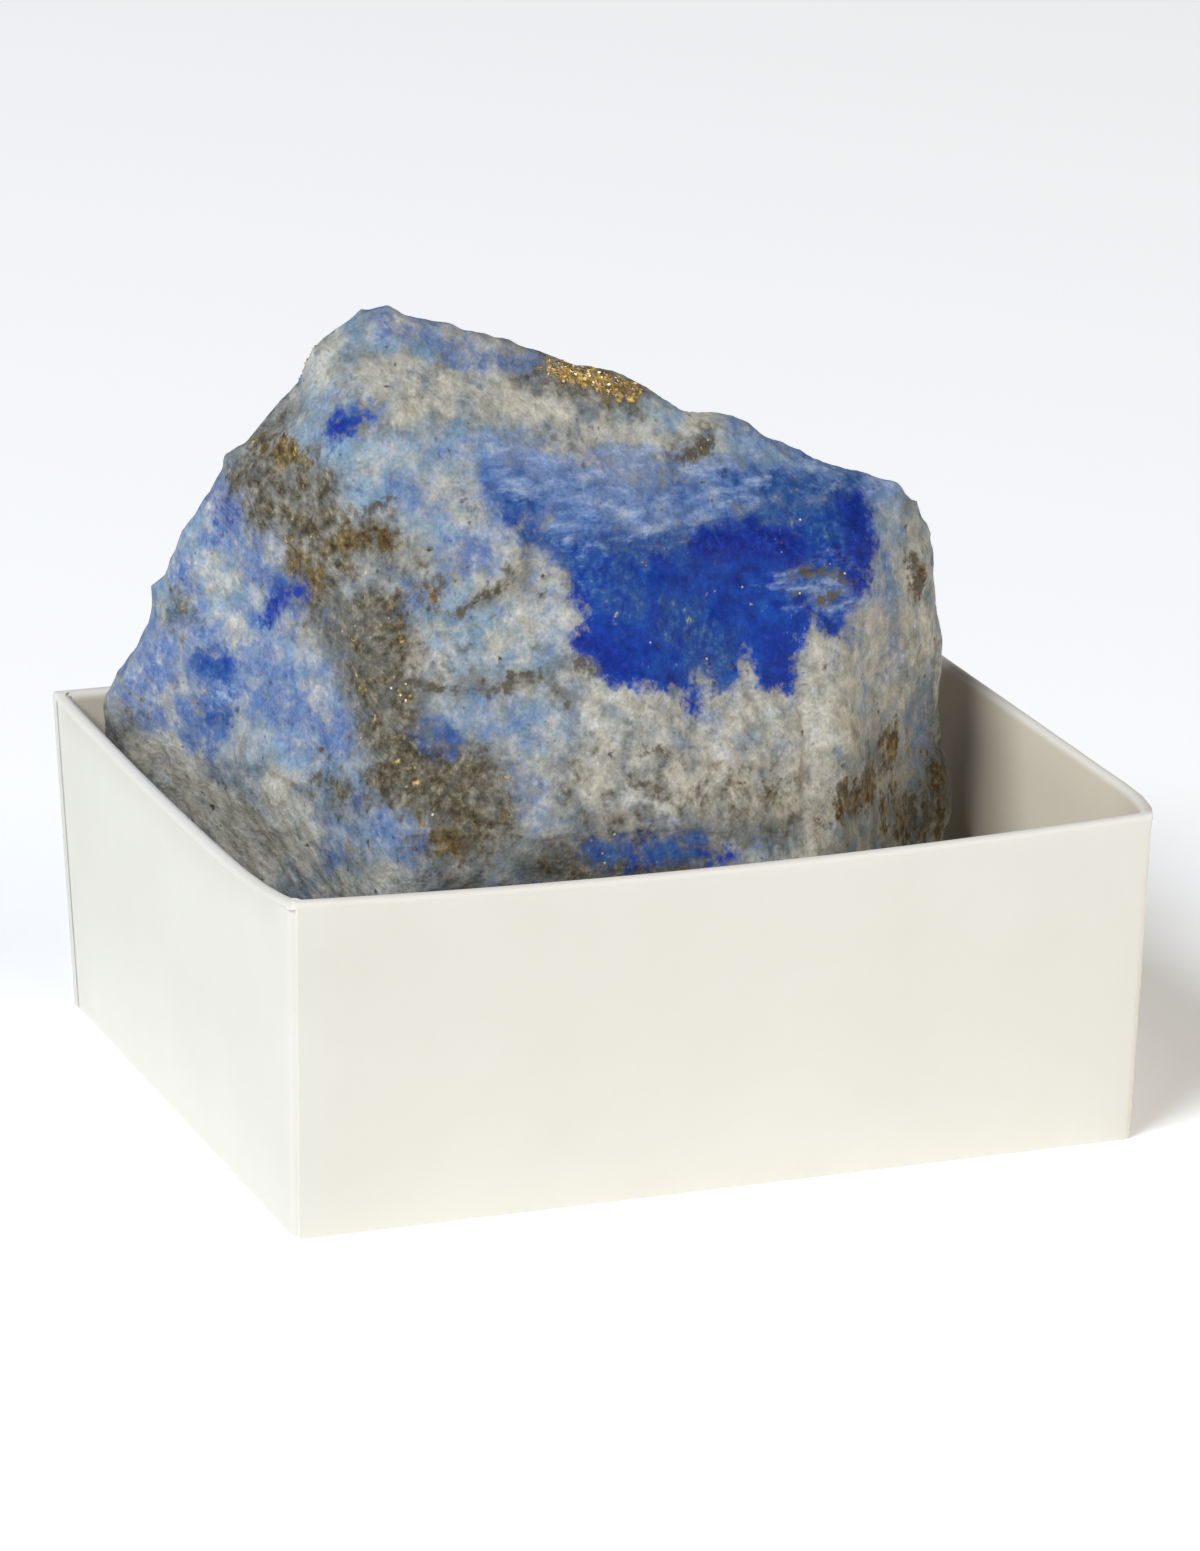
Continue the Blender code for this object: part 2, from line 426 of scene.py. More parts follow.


# The stone's minerals as the photograph shows them, from the peak down and left to right. Some marks are
# painted shade, as their comments say.
SEEN_MARKS: dict[Mineral, dict[str, Stroke | Outline]] = {
    Mineral.LAZURITE: {
        "main_patch": Outline((
            (516, 522), (532, 540), (556, 552), (570, 580), (580, 606), (584, 632), (580, 652), (592, 664),
            (612, 682), (634, 690), (664, 688), (686, 694), (684, 706), (696, 714), (704, 704), (700, 692),
            (692, 680), (697, 666), (706, 668), (714, 684), (733, 688), (741, 670), (746, 650), (752, 664),
            (757, 686), (776, 692), (792, 690), (797, 656), (808, 629), (814, 619), (821, 629), (830, 637),
            (842, 636), (853, 614), (862, 584), (868, 552), (871, 514), (860, 494), (840, 493), (812, 506),
            (793, 518), (772, 524), (736, 527), (706, 540), (672, 545), (630, 543), (594, 542), (562, 536),
        )),
        "patch_horn": Stroke(((494, 484), (503, 496), (514, 514), (530, 536)), 8.0, 0.1),
        "patch_brow": Stroke(((560, 540), (640, 540), (700, 530)), 8.0, 0.2),
        "patch_crown": Stroke(((830, 490), (862, 500)), 7.0, 0.5),
        "peak_streak": Stroke(((337, 428), (352, 424), (368, 414)), 7.5, 0.7),
        "left_arc": Stroke(((300, 591), (283, 595), (273, 605), (270, 622)), 4.0, 0.3),
        "left_spot": Stroke(((206, 662), (222, 668)), 12.0, 0.6),
        "left_spot_low": Stroke(((208, 700), (213, 714), (224, 714)), 7.0, 0.3),
        "left_high": Stroke(((212, 500), (226, 514)), 8.0, -0.3),
        "foot_middle": Stroke(((590, 848), (612, 853), (636, 847), (639, 866)), 7.0, -0.4),
        "foot_right": Stroke(((652, 846), (682, 853)), 6.5, -0.45),
        "foot_end": Stroke(((711, 859), (726, 860)), 4.0, -0.3),
    },
    Mineral.AZURE: {
        "left_top": Stroke(((214, 494), (230, 526), (220, 540)), 24.0, 2.4),
        "left_upper": Stroke(((182, 570), (196, 590)), 18.0, 1.5),
        "left_inner": Stroke(((252, 546), (266, 572)), 20.0, 1.1),
        "left_arc": Stroke(((288, 606), (286, 630)), 24.0, 2.4),
        "patch_top": Stroke((
            (516, 520), (560, 534), (640, 538), (720, 528), (800, 508), (860, 490),
        ), 16.0, 2.2),
        "left_wash": Stroke(((190, 640), (250, 660), (300, 690)), 34.0, 0.6),
        "left_middle": Stroke(((255, 618), (270, 652), (240, 640)), 18.0, 0.7),
        "left_low": Stroke(((262, 690), (300, 712), (330, 742)), 30.0, 0.8),
        "left_mottle": Stroke(((160, 640), (148, 700), (200, 740)), 30.0, 0.9),
        "left_rim": Stroke(((124, 664), (134, 680)), 12.0, 1.2),
        "left_foot": Stroke(((328, 820), (332, 856)), 12.0, 0.5),
        "spot_tail": Stroke(((214, 704), (214, 736)), 10.0, 1.0),
        "front_foot": Stroke(((362, 805), (408, 840)), 18.0, 0.6),
        "crest_left": Stroke(((384, 318), (420, 332), (470, 350)), 14.0, 1.5),
        "crest_middle": Stroke(((470, 356), (500, 366), (538, 360)), 14.0, 1.1),
        "sky_left": Stroke(((436, 446), (486, 444)), 11.0, 0.3),
        "sky_low": Stroke(((398, 490), (446, 506)), 16.0, 0.5),
        "lilac_patch": Stroke(((456, 556), (486, 550)), 20.0, 2.3),
        "above_patch_left": Stroke(((500, 480), (540, 504), (600, 520)), 20.0, 1.6),
        "above_patch": Stroke(((600, 510), (700, 500), (790, 486), (858, 490)), 26.0, 1.8),
        "crest_right": Stroke(((742, 424), (800, 456), (880, 488)), 14.0, 1.0),
        "middle": Stroke(((470, 712), (524, 728)), 16.0, 0.1),
        "middle_dark": Stroke(((433, 734), (446, 738)), 9.0, 1.1),
        "middle_low": Stroke(((520, 780), (538, 824)), 12.0, 0.2),
        "band_side": Stroke(((404, 600), (422, 600)), 12.0, 1.0),
        "patch_side": Stroke(((546, 566), (562, 606), (572, 650)), 12.0, 0.5),
        "patch_drop": Stroke(((690, 700), (704, 716)), 12.0, 1.2),
        "swirl_low": Stroke(((816, 612), (836, 628)), 14.0, 1.6),
        "right_low": Stroke(((912, 716), (920, 745)), 11.0, 0.3),
        "right_face": Stroke(((888, 570), (884, 640), (878, 700)), 13.0, 0.3),
        "patch_edge": Stroke(((490, 476), (514, 508), (546, 540)), 18.0, 2.2),
    },
    Mineral.HAZE: {
        "peak": Stroke(((352, 330), (384, 344), (420, 350)), 20.0, 1.6),
        "shoulder": Stroke(((322, 372), (318, 400)), 14.0, 0.8),
        "upper": Stroke(((310, 440), (350, 460), (420, 450), (480, 440)), 26.0, 1.2),
        "middle": Stroke(((360, 486), (420, 500), (440, 520)), 30.0, 1.2),
        "lower": Stroke(((420, 600), (470, 640), (540, 640)), 34.0, 0.7),
        "left_face": Stroke(((210, 520), (160, 620), (230, 640), (280, 690), (330, 760)), 50.0, 1.0),
        "triangle": Stroke(((466, 470), (430, 512)), 7.0, 0.8),
        "triangle_right": Stroke(((466, 470), (500, 512), (520, 540)), 8.0, 1.0),
        "crest_right": Stroke(((640, 414), (720, 436), (800, 462), (886, 484)), 26.0, 1.3),
        "centre": Stroke(((460, 710), (540, 730)), 26.0, 0.7),
        "right_face": Stroke(((888, 520), (884, 620), (872, 700)), 20.0, 0.8),
        "front_low": Stroke(((360, 800), (400, 850)), 24.0, 0.4),
    },
    Mineral.CALCITE: {
        "spike": Stroke(((816, 646), (826, 700), (822, 780), (812, 850)), 17.0, 2.6),
        "right_face": Stroke(((872, 620), (880, 700)), 16.0, 0.4),
        "right_edge": Stroke(((906, 560), (914, 660)), 9.0, 0.8),
        "spike_tip": Stroke(((816, 636), (818, 660)), 7.0, 1.5),
        "spike_side": Stroke(((852, 660), (848, 740)), 15.0, 0.7),
        "notch": Stroke(((747, 656), (750, 690)), 6.0, 1.4),
        "below_patch": Stroke(((610, 716), (670, 728), (760, 716), (790, 740)), 28.0, 0.15),
        "low_middle": Stroke(((600, 770), (700, 780), (780, 790)), 34.0, 0.5),
        "right_tall": Stroke(((920, 582), (926, 650)), 8.0, 1.0),
        "peak": Stroke(((372, 380), (410, 376), (436, 392)), 20.0, 0.4),
        "peak_left": Stroke(((316, 366), (334, 342)), 14.0, 1.1),
        "peak_low": Stroke(((404, 410), (426, 404)), 12.0, 0.7),
        "crest_cream": Stroke(((492, 392), (524, 404), (556, 414)), 20.0, 1.3),
        "crest_knob": Stroke(((696, 420), (712, 428)), 13.0, 1.1),
        "crest_grey": Stroke(((590, 430), (660, 444)), 14.0, 0.4),
        "patch_crust": Stroke(((512, 536), (548, 560), (566, 600), (570, 650)), 10.0, 0.6),
        "patch_crust_low": Stroke(((576, 660), (600, 694)), 9.0, 0.8),
        "arc_crust": Stroke(((504, 548), (516, 566), (506, 588)), 8.0, 0.9),
        "triangle": Stroke(((464, 492), (470, 516)), 14.0, 0.3),
        "spot_ring": Stroke(((214, 696), (224, 697)), 7.0, 1.2),
        "left_grey": Stroke(((212, 560), (214, 586)), 9.0, 0.8),
        "left_middle": Stroke(((222, 622), (242, 640)), 12.0, 0.2),
        "left_rim": Stroke(((150, 760), (262, 850)), 32.0, 0.9),
        "left_column": Stroke(((276, 790), (290, 850)), 20.0, 1.1),
        "frost_left": Stroke(((560, 448), (620, 460)), 14.0, 0.3),
        "swirl": Stroke(((796, 588), (822, 590), (846, 602)), 8.0, 0.8),
        "left_foot": Stroke(((296, 812), (306, 856)), 18.0, 1.1),
        "band_side": Stroke(((404, 640), (412, 676)), 10.0, 0.7),
        "corner_foot": Stroke(((330, 888), (420, 880)), 14.0, 0.2),
        "centre": Stroke(((500, 640), (556, 610)), 14.0, 0.2),
    },
    Mineral.UMBER: {
        "band_tip": Stroke(((284, 414), (266, 436)), 9.0, 0.9),
        "band_top": Stroke(((262, 454), (304, 458)), 12.0, 1.5),
        "band_upper": Stroke(((250, 480), (322, 486)), 24.0, 0.7),
        "band_middle": Stroke(((264, 512), (324, 524)), 22.0, 1.1),
        "band_bend": Stroke(((324, 546), (376, 538)), 18.0, 1.1),
        "band_elbow": Stroke(((306, 572), (346, 568)), 16.0, 1.1),
        "band_side": Stroke(((400, 560), (426, 586)), 12.0, -0.1),
        "band_lower": Stroke(((366, 600), (394, 602)), 12.0, 0.5),
        "band_link": Stroke(((316, 594), (340, 620), (360, 650)), 21.0, 0.5),
        "band_run": Stroke(((376, 620), (380, 680), (392, 744)), 33.0, 0.75),
        "patch": Stroke(((406, 770), (464, 786), (476, 814)), 42.0, 1.0),
        "patch_foot": Stroke(((420, 850), (464, 848)), 9.0, 1.0),
        "left_low": Stroke(((326, 786), (350, 796)), 13.0, 0.8),
        "left_dot": Stroke(((178, 606), (182, 612)), 9.0, 0.9),
        "rim_dot": Stroke(((128, 716), (132, 728)), 6.0, 0.6),
        "crest_spot": Stroke(((682, 458), (704, 444)), 9.0, 1.1),
        "gold_bed": Stroke(((552, 374), (592, 382), (632, 394)), 17.0, 2.4),
        "gold_side": Stroke(((526, 376), (540, 378)), 6.0, 0.8),
        "patch_corner": Stroke(((582, 660), (590, 668)), 6.0, 0.7),
        "middle_dots": Stroke(((632, 780), (668, 792)), 6.0, 0.0),
        "low_olive": Stroke(((706, 800), (780, 812)), 18.0, -0.1),
        "low_wash": Stroke(((590, 780), (700, 796), (790, 806)), 28.0, -0.55),
        "foot_dots": Stroke(((586, 826), (660, 812)), 8.0, 0.1),
        "foot_wash": Stroke(((560, 852), (690, 848)), 15.0, 0.25),
        "foot_olive": Stroke(((540, 868), (600, 872), (690, 864)), 12.0, 0.8),
        "left_corner": Stroke(((96, 730), (112, 752)), 14.0, 0.6),
    },
    Mineral.SLATE: {
        "middle": Stroke(((420, 660), (500, 640), (560, 668)), 30.0, 0.7),
        "below_patch": Stroke(((600, 720), (680, 735), (770, 725)), 26.0, -0.1),
        # Partly painted shade: a dark line under the speck line's ledge, over the rock's own dark specks.
        "speck_line": Stroke(((372, 688), (450, 690), (536, 676)), 8.0, 0.5),
        "band": Stroke(((370, 640), (384, 720), (440, 790)), 46.0, 1.0),
        "band_link": Stroke(((300, 590), (350, 640)), 26.0, 0.9),
        "streak_side": Stroke(((370, 430), (392, 430)), 9.0, 0.9),
        "teal_spot": Stroke(((362, 512), (370, 516)), 6.0, 0.7),
        # Partly painted shade: dark grey along the stone's foot just above the tray's front rim, where the
        # tray shades the stone, over the rock's own grey.
        "foot": Stroke(((440, 870), (560, 856)), 20.0, 1.2),
        "foot_right": Stroke(((560, 862), (690, 862)), 18.0, 2.2),
        "foot_far": Stroke(((700, 850), (780, 846)), 14.0, 0.8),
        "left_corner": Stroke(((104, 722), (150, 780), (260, 876)), 20.0, 0.1),
        "low_right": Stroke(((700, 816), (790, 806)), 20.0, 0.4),
        "right_edge": Stroke(((924, 620), (940, 800)), 16.0, 0.6),
        "corner": Stroke(((290, 560), (276, 586)), 6.0, 0.4),
    },
    Mineral.TEAL: {
        "patch_middle": Stroke(((676, 620), (704, 636), (716, 664)), 16.0, 0.35),
        "patch_left": Stroke(((566, 552), (600, 570), (620, 600)), 18.0, 0.1),
        "patch_corner": Stroke(((812, 532), (838, 530)), 13.0, 0.3),
        "patch_top": Stroke((
            (540, 540), (620, 543), (690, 538), (734, 524), (800, 509), (852, 490),
        ), 15.0, 0.7),
        "patch_edge": Stroke(((492, 478), (514, 508), (544, 538)), 13.0, 0.6),
        "left_eye": Stroke(((275, 578), (280, 586)), 6.0, 0.8),
        "above_right": Stroke(((730, 482), (790, 486), (856, 486)), 20.0, 1.0),
        "above_patch": Stroke(((600, 520), (700, 510), (800, 490)), 18.0, 0.1),
        "dab_left": Stroke(((560, 474), (590, 488)), 10.0, 0.4),
        "dab_middle": Stroke(((676, 484), (690, 500)), 10.0, 0.6),
        "dab_right": Stroke(((762, 484), (808, 490)), 12.0, 0.9),
        "swirl": Stroke(((800, 582), (824, 576), (842, 592), (820, 600)), 10.0, 0.8),
        "above_left": Stroke(((500, 476), (540, 500), (590, 524)), 14.0, 0.4),
        "left_spot": Stroke(((206, 664), (220, 684), (216, 716)), 14.0, 0.9),
        # Partly painted shade: a duller, darker blue along the foot above the tray's rim, where the tray
        # shades the stone.
        "foot": Stroke(((596, 854), (690, 850)), 12.0, 0.5),
        "band_eye": Stroke(((432, 734), (446, 738)), 9.0, 0.5),
        "peak_streak": Stroke(((330, 432), (346, 424)), 7.0, 0.5),
    },
    Mineral.FROST: {
        "left": Stroke(((500, 460), (560, 480), (620, 500)), 24.0, 0.7),
        "middle": Stroke(((570, 514), (640, 512), (716, 502)), 18.0, 0.8),
        "spot_light": Stroke(((212, 697), (226, 697)), 4.5, 0.5),
        "upper": Stroke(((600, 466), (680, 478), (740, 478)), 18.0, 0.3),
        "right": Stroke(((800, 462), (880, 488)), 10.0, 0.3),
        "swirl": Stroke(((800, 582), (824, 576), (842, 592), (820, 600)), 8.0, -0.1),
        "border": Stroke(((868, 540), (860, 590)), 5.0, 0.4),
    },
    Mineral.RUST: {
        "right_face": Stroke(((888, 744), (872, 784), (850, 804)), 11.0, 0.2),
        "right_foot": Stroke(((886, 790), (904, 830)), 11.0, 0.2),
        "right_edge": Stroke(((934, 770), (936, 836)), 8.0, 0.9),
        "right_slit": Stroke(((913, 560), (917, 586)), 3.0, -0.2),
        "elbow": Stroke(((344, 538), (382, 540)), 9.0, 0.6),
        "elbow_low": Stroke(((300, 556), (318, 580)), 9.0, 0.6),
        "left_dashes": Stroke(((436, 596), (430, 610)), 5.0, 0.2),
        "patch_dark": Stroke(((424, 838), (464, 846)), 8.0, 1.0),
        "band_dark": Stroke(((262, 448), (300, 458)), 8.0, 0.7),
        "band_dark_low": Stroke(((330, 544), (370, 540)), 9.0, 0.3),
    },
    Mineral.NAVY: {
        "left_arc": Stroke(((299, 591), (283, 595), (273, 605), (270, 618)), 3.6, 0.4),
        "brow": Stroke(((706, 546), (740, 540), (790, 548)), 17.0, 1.0),
        "right": Stroke(((852, 506), (862, 540), (858, 580)), 13.0, 1.0),
        "left_low": Stroke(((584, 640), (606, 650), (622, 668)), 13.0, 1.0),
        "right_low": Stroke(((776, 640), (784, 676)), 12.0, 0.3),
        "foot": Stroke(((634, 850), (640, 868)), 6.0, 0.1),
        "peak": Stroke(((336, 426), (350, 428)), 6.0, 0.5),
        "foot_far": Stroke(((708, 856), (722, 858)), 5.0, 0.4),
    },
    # Painted shade: thin dark lines in cracks, slits and swirl hollows and under ledges, where shade falls;
    # the spots among them are the rock's own dark spots.
    Mineral.CRACK: {
        "crest_spot": Stroke(((686, 457), (698, 450), (706, 443)), 7.0, 0.3),
        # Painted shadow under the raised crust lobe.
        "lobe": Stroke(((514, 556), (508, 576), (498, 588), (484, 593)), 2.8, 0.1),
        "lobe_dark": Stroke(((500, 589), (486, 593)), 4.8, 0.2),
        "lobe_foot": Stroke(((484, 593), (474, 603), (462, 613), (450, 621)), 2.8, 0.05),
        "speck_left": Stroke(((410, 682), (426, 686), (446, 689)), 3.8, 0.1),
        "speck_line": Stroke(((446, 689), (475, 694), (503, 690), (516, 682)), 2.4, -0.05),
        "speck_dark": Stroke(((512, 678), (536, 677)), 5.8, 0.05),
        "speck_right": Stroke(((550, 682), (558, 692), (568, 706)), 2.8, 0.05),
        "shoulder": Stroke(((394, 496), (380, 503), (366, 514)), 2.8, 0.05),
        "patch_corner": Stroke(((581, 659), (594, 668)), 3.8, 0.0),
        "low_line": Stroke(((642, 748), (656, 750), (676, 757)), 2.8, 0.0),
        "low_arc": Stroke(((632, 778), (646, 789), (668, 792)), 2.8, -0.05),
        "low_dots": Stroke(((766, 784), (786, 786)), 2.4, -0.05),
        "swirl_top": Stroke(((792, 576), (812, 570), (836, 573), (850, 584)), 2.4, 0.0),
        "swirl_low": Stroke(((798, 594), (820, 600), (842, 594)), 2.4, -0.05),
        "slit_high": Stroke(((913, 556), (917, 588)), 2.8, 0.1),
        "slit": Stroke(((911, 800), (914, 836)), 3.3, 0.1),
        "slit_right": Stroke(((928, 792), (930, 832)), 3.3, 0.05),
        "side_dark": Stroke(((842, 788), (846, 812)), 3.3, -0.05),
        "side_dots": Stroke(((818, 812), (822, 824)), 2.8, -0.05),
        "band_spots": Stroke(((306, 543), (315, 546)), 3.3, 0.05),
        "foot_dark": Stroke(((440, 838), (470, 846)), 3.8, 0.0),
    },
    Mineral.PYRITE: {
        "gold_patch": Stroke(((552, 369), (592, 379), (630, 391)), 20.0, 1.2),
        "gold_side": Stroke(((490, 362), (536, 376)), 6.0, 0.1),
        "band_high": Stroke(((250, 456), (300, 460), (300, 530)), 28.0, 0.1),
        "band_low": Stroke(((362, 600), (380, 660), (386, 720)), 30.0, 0.14),
        "patch": Stroke(((410, 750), (480, 800)), 40.0, 0.08),
        "crest_spot": Stroke(((690, 456), (706, 444)), 10.0, 0.5),
        "blue_patch": Stroke(((600, 600), (700, 630), (820, 560)), 50.0, -0.15),
        "frost": Stroke(((600, 490), (700, 500)), 26.0, -0.2),
        "foot": Stroke(((560, 850), (660, 850)), 16.0, 0.0),
    },
}

# Where the outline is filled out or worn back.
SWELLS: dict[str, Swell] = {
    "peak_left": Swell(((306, 350), (330, 326), (368, 304)), 26.0, -0.38),
    "corner_top": Swell(((796, 446), (840, 458), (884, 474)), 22.0, -0.28),
    "corner_right": Swell(((914, 492), (926, 508)), 20.0, -0.42),
    "left_middle": Swell(((176, 550), (150, 596), (134, 640)), 26.0, -0.4),
    "left_low": Swell(((122, 664), (114, 682)), 18.0, -0.22),
    "left_notch": Swell(((232, 446), (228, 456)), 14.0, 0.45),
    "crest": Swell(((450, 328), (500, 342)), 20.0, 0.25),
}

# Broken edges, cracks and slits in the surface.
LEDGES: dict[str, Ledge] = {
    "crust_lobe": Ledge(((440, 612), (476, 602), (500, 588), (518, 566), (522, 540), (508, 512)), 0.8, 4.0),
    "patch_rim": Ledge(((588, 668), (582, 640), (578, 600), (560, 556), (528, 540)), 0.22, 2.0),
    "triangle": Ledge(((520, 536), (466, 468), (414, 520)), -0.22, 1.6),
    "shoulder_crack": Ledge(((390, 496), (376, 506), (358, 520)), 0.3, 1.5),
    "speck_line": Ledge(((360, 690), (450, 692), (536, 676), (572, 706)), 0.3, 2.0),
    "band_step": Ledge(((246, 440), (250, 500), (296, 552), (300, 590)), 0.3, 2.4),
    "elbow_step": Ledge(((300, 586), (350, 574), (390, 540), (380, 518)), 0.25, 2.2),
    "swirl_top": Ledge(((792, 574), (822, 566), (850, 582)), -0.2, 1.0),
    "swirl_low": Ledge(((846, 604), (820, 608), (796, 590)), -0.2, 1.0),
    "crest_step": Ledge(((640, 470), (690, 462), (720, 436)), 0.3, 2.2),
    "patch_hollow": Ledge(((640, 600), (700, 610), (730, 660)), 0.12, 2.5),
    "low_step": Ledge(((560, 760), (640, 772), (740, 762), (800, 786)), 0.22, 2.0),
    "foot_step": Ledge(((480, 850), (560, 838), (660, 830), (780, 836)), 0.3, 2.4),
    "right_slit_high": Ledge(((914, 540), (918, 592)), 0.35, 1.0),
    "right_slit": Ledge(((900, 760), (914, 796), (918, 836)), 0.5, 1.2),
    "right_slit_low": Ledge(((928, 740), (936, 838)), 0.45, 1.2),
    "spike_side": Ledge(((800, 660), (804, 740), (800, 840)), -0.25, 2.0),
    "left_low": Ledge(((200, 760), (270, 770), (330, 800)), 0.25, 2.2),
    "left_middle": Ledge(((150, 640), (210, 650), (280, 640)), 0.18, 2.0),
}


@dataclass(frozen=True)
class Habit:
    """How a mineral lies where no mark tells it.

    Ground is its depth in millimetres between the marks, on the side that the photograph
    shows. On the hidden sides its depth is noise of this size, times the swing, plus the
    offset.
    """

    ground: float
    size: float
    swing: float
    offset: float
    shift: Point

    def hidden_depth(self, places: np.ndarray) -> np.ndarray:
        """Work out the mineral's depth on the hidden sides.

        Args:
            places: Points in millimetres, one row each.

        Returns:
            The depth at each, in millimetres.
        """
        shift = Vector(self.shift)
        spots = [noise.noise(Vector(place) / self.size + shift) for place in places]
        return self.offset + self.swing * np.array(spots)


HABITS: dict[Mineral, Habit] = {
    Mineral.LAZURITE: Habit(-3.0, 15.0, 6.4, -2.1, (3.0, 8.0, 1.0)),
    Mineral.AZURE: Habit(-0.9, 11.0, 3.5, 0.1, (6.0, 2.0, 5.0)),
    Mineral.HAZE: Habit(-0.4, 10.0, 3.5, 0.3, (5.0, 6.0, 3.0)),
    Mineral.CALCITE: Habit(-0.6, 9.0, 3.5, 0.4, (1.0, 9.0, 4.0)),
    Mineral.UMBER: Habit(-1.6, 12.0, 5.0, -1.4, (8.0, 5.0, 2.0)),
    Mineral.SLATE: Habit(-0.8, 8.0, 3.0, -0.5, (4.0, 4.0, 9.0)),
    Mineral.TEAL: Habit(-2.0, 7.0, 3.0, -1.2, (7.0, 3.0, 6.0)),
    Mineral.RUST: Habit(-1.8, 8.0, 4.0, -1.5, (12.0, 3.0, 8.0)),
    Mineral.FROST: Habit(-2.0, 9.0, 3.0, -1.1, (2.0, 7.0, 7.0)),
    Mineral.NAVY: Habit(-2.0, 8.0, 4.0, -2.0, (11.0, 6.0, 4.0)),
    # Crack shade on the hidden sides: painted shade lines, spread at random.
    Mineral.CRACK: Habit(-1.0, 5.0, 1.6, -0.75, (13.0, 2.0, 6.0)),
    Mineral.PYRITE: Habit(-1.5, 10.0, 3.6, -1.6, (9.0, 1.0, 3.0)),
}


@dataclass(frozen=True)
class Wear:
    """One size of the stone's relief: lumps this wide, this high, from noise with this shift."""

    size: float
    height: float
    shift: float
    ridged: bool = False
    falloff: float = 0.9
    finer: float = 2.1
    octaves: int = 3

    def lift(self, places: np.ndarray) -> np.ndarray:
        """Measure how far the relief lifts each place.

        Args:
            places: Points in millimetres, one row each.

        Returns:
            The heights in millimetres.
        """
        shift = Vector((self.shift, -self.shift, 2.0 * self.shift))
        points = [Vector(place) / self.size + shift for place in places]
        if self.ridged:
            raw = [1.0 - 2.0 * abs(noise.noise(point)) for point in points]
        else:
            raw = [noise.fractal(point, self.falloff, self.finer, self.octaves) for point in points]
        return self.height * np.array(raw)


WEAR: tuple[Wear, ...] = (
    Wear(6.0, 0.26, 2.0),
    Wear(2.6, 0.09, 5.0, ridged=True),
    Wear(1.3, 0.06, 9.0),
    Wear(0.8, 0.04, 14.0, ridged=True),
)


@dataclass
class LapisStone:
    """The stone: its solid's form, made fine, with the relief that grain and weather gave it.

    The photograph's marks fade in over facing, the cosine of the angle between the
    surface's normal and the way to the camera. Below the tray's rim, between the two
    heights of the rim shade, they fade out again by the rim share.
    """

    node: str = "lapis_stone"
    weld: float = 0.001
    grain: float = 0.29
    smooth_rounds: int = 14
    smooth_share: float = 0.5
    rest_height: float = 1.3
    facing: Limits = (-0.12, 0.1)
    rim_shade: Limits = (14.0, 9.0)
    rim_share: float = 0.6
    camera: PhotoCamera = field(default_factory=PhotoCamera)

    def build(self) -> bpy.types.Object:
        """Carve the stone, wear it and lay its minerals.

        Returns:
            The dressed stone.
        """
        stone = self.carve()
        self.wear(stone)
        self.lay_minerals(stone)
        dress(stone, RoughLapis().make())
        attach(stone, "root")
        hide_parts(self.node)
        return stone

    def carve(self) -> bpy.types.Object:
        """Copy the solid, merge its doubles, divide it finely and soften its facets.

        Returns:
            The bare stone.
        """
        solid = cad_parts[self.node]
        stone = bpy.data.objects.new("rough_lapis_stone", solid.data.copy())
        bpy.context.scene.collection.objects.link(stone)
        only(stone)
        bpy.ops.object.mode_set(mode="EDIT")
        bpy.ops.mesh.select_all(action="SELECT")
        bpy.ops.mesh.remove_doubles(threshold=self.weld * MM)
        bpy.ops.mesh.normals_make_consistent(inside=False)
        bpy.ops.object.mode_set(mode="OBJECT")
        apply_modifier(stone, "REMESH", mode="VOXEL", voxel_size=self.grain * MM, use_smooth_shade=True)
        apply_modifier(stone, "SMOOTH", factor=self.smooth_share, iterations=self.smooth_rounds)
        return stone

    def seen(self, places: np.ndarray, normals: np.ndarray) -> np.ndarray:
        """Find how far each place is turned to the photograph's camera.

        Args:
            places: Points in millimetres, one row each.
            normals: The surface's normals there.

        Returns:
            A value from 0 to 1 for each.
        """
        towards = np.array(self.camera.place) - places
        towards /= np.linalg.norm(towards, axis=1)[:, None]
        return smoothstep(*self.facing, np.einsum("ij,ij->i", towards, normals))

    def wear(self, stone: bpy.types.Object) -> None:
        """Raise the broken edges and the weathered grain along the stone's normals.

        Args:
            stone: The carved stone, which is changed.
        """
        places = places_of(stone.data)
        normals = normals_of(stone.data)
        pixels = self.camera.pixels(places)
        scale = self.camera.pixels_per_mm()
        weathered = sum(wear.lift(places) for wear in WEAR)
        ledges = sum(ledge.lift(pixels, scale) for ledge in LEDGES.values())
        lift = weathered - weathered.mean() + ledges * self.seen(places, normals)
        lift += sum(swell.lift(pixels) for swell in SWELLS.values())
        places += normals * lift[:, None]
        places[:, 2] = np.maximum(places[:, 2], self.rest_height)
        put_places(stone.data, places)

    def lay_minerals(self, stone: bpy.types.Object) -> None:
        """Write each mineral's depth at each vertex, from the marks and its habit.

        Args:
            stone: The worn stone, which gets one attribute for each mineral.
        """
        places = places_of(stone.data)
        pixels = self.camera.pixels(places)
        scale = self.camera.pixels_per_mm()
        faded = self.rim_share * smoothstep(*self.rim_shade, places[:, 2])
        seen = self.seen(places, normals_of(stone.data)) * (1.0 - faded)
        for mineral, marks in SEEN_MARKS.items():
            shown = np.full(len(places), HABITS[mineral].ground)
            for mark in marks.values():
                shown = np.maximum(shown, mark.depth(pixels, scale))
            depth = seen * shown + (1.0 - seen) * HABITS[mineral].hidden_depth(places)
            attribute = stone.data.attributes.new(mineral.value, "FLOAT", "POINT")
            attribute.data.foreach_set("value", depth.astype(np.float32))


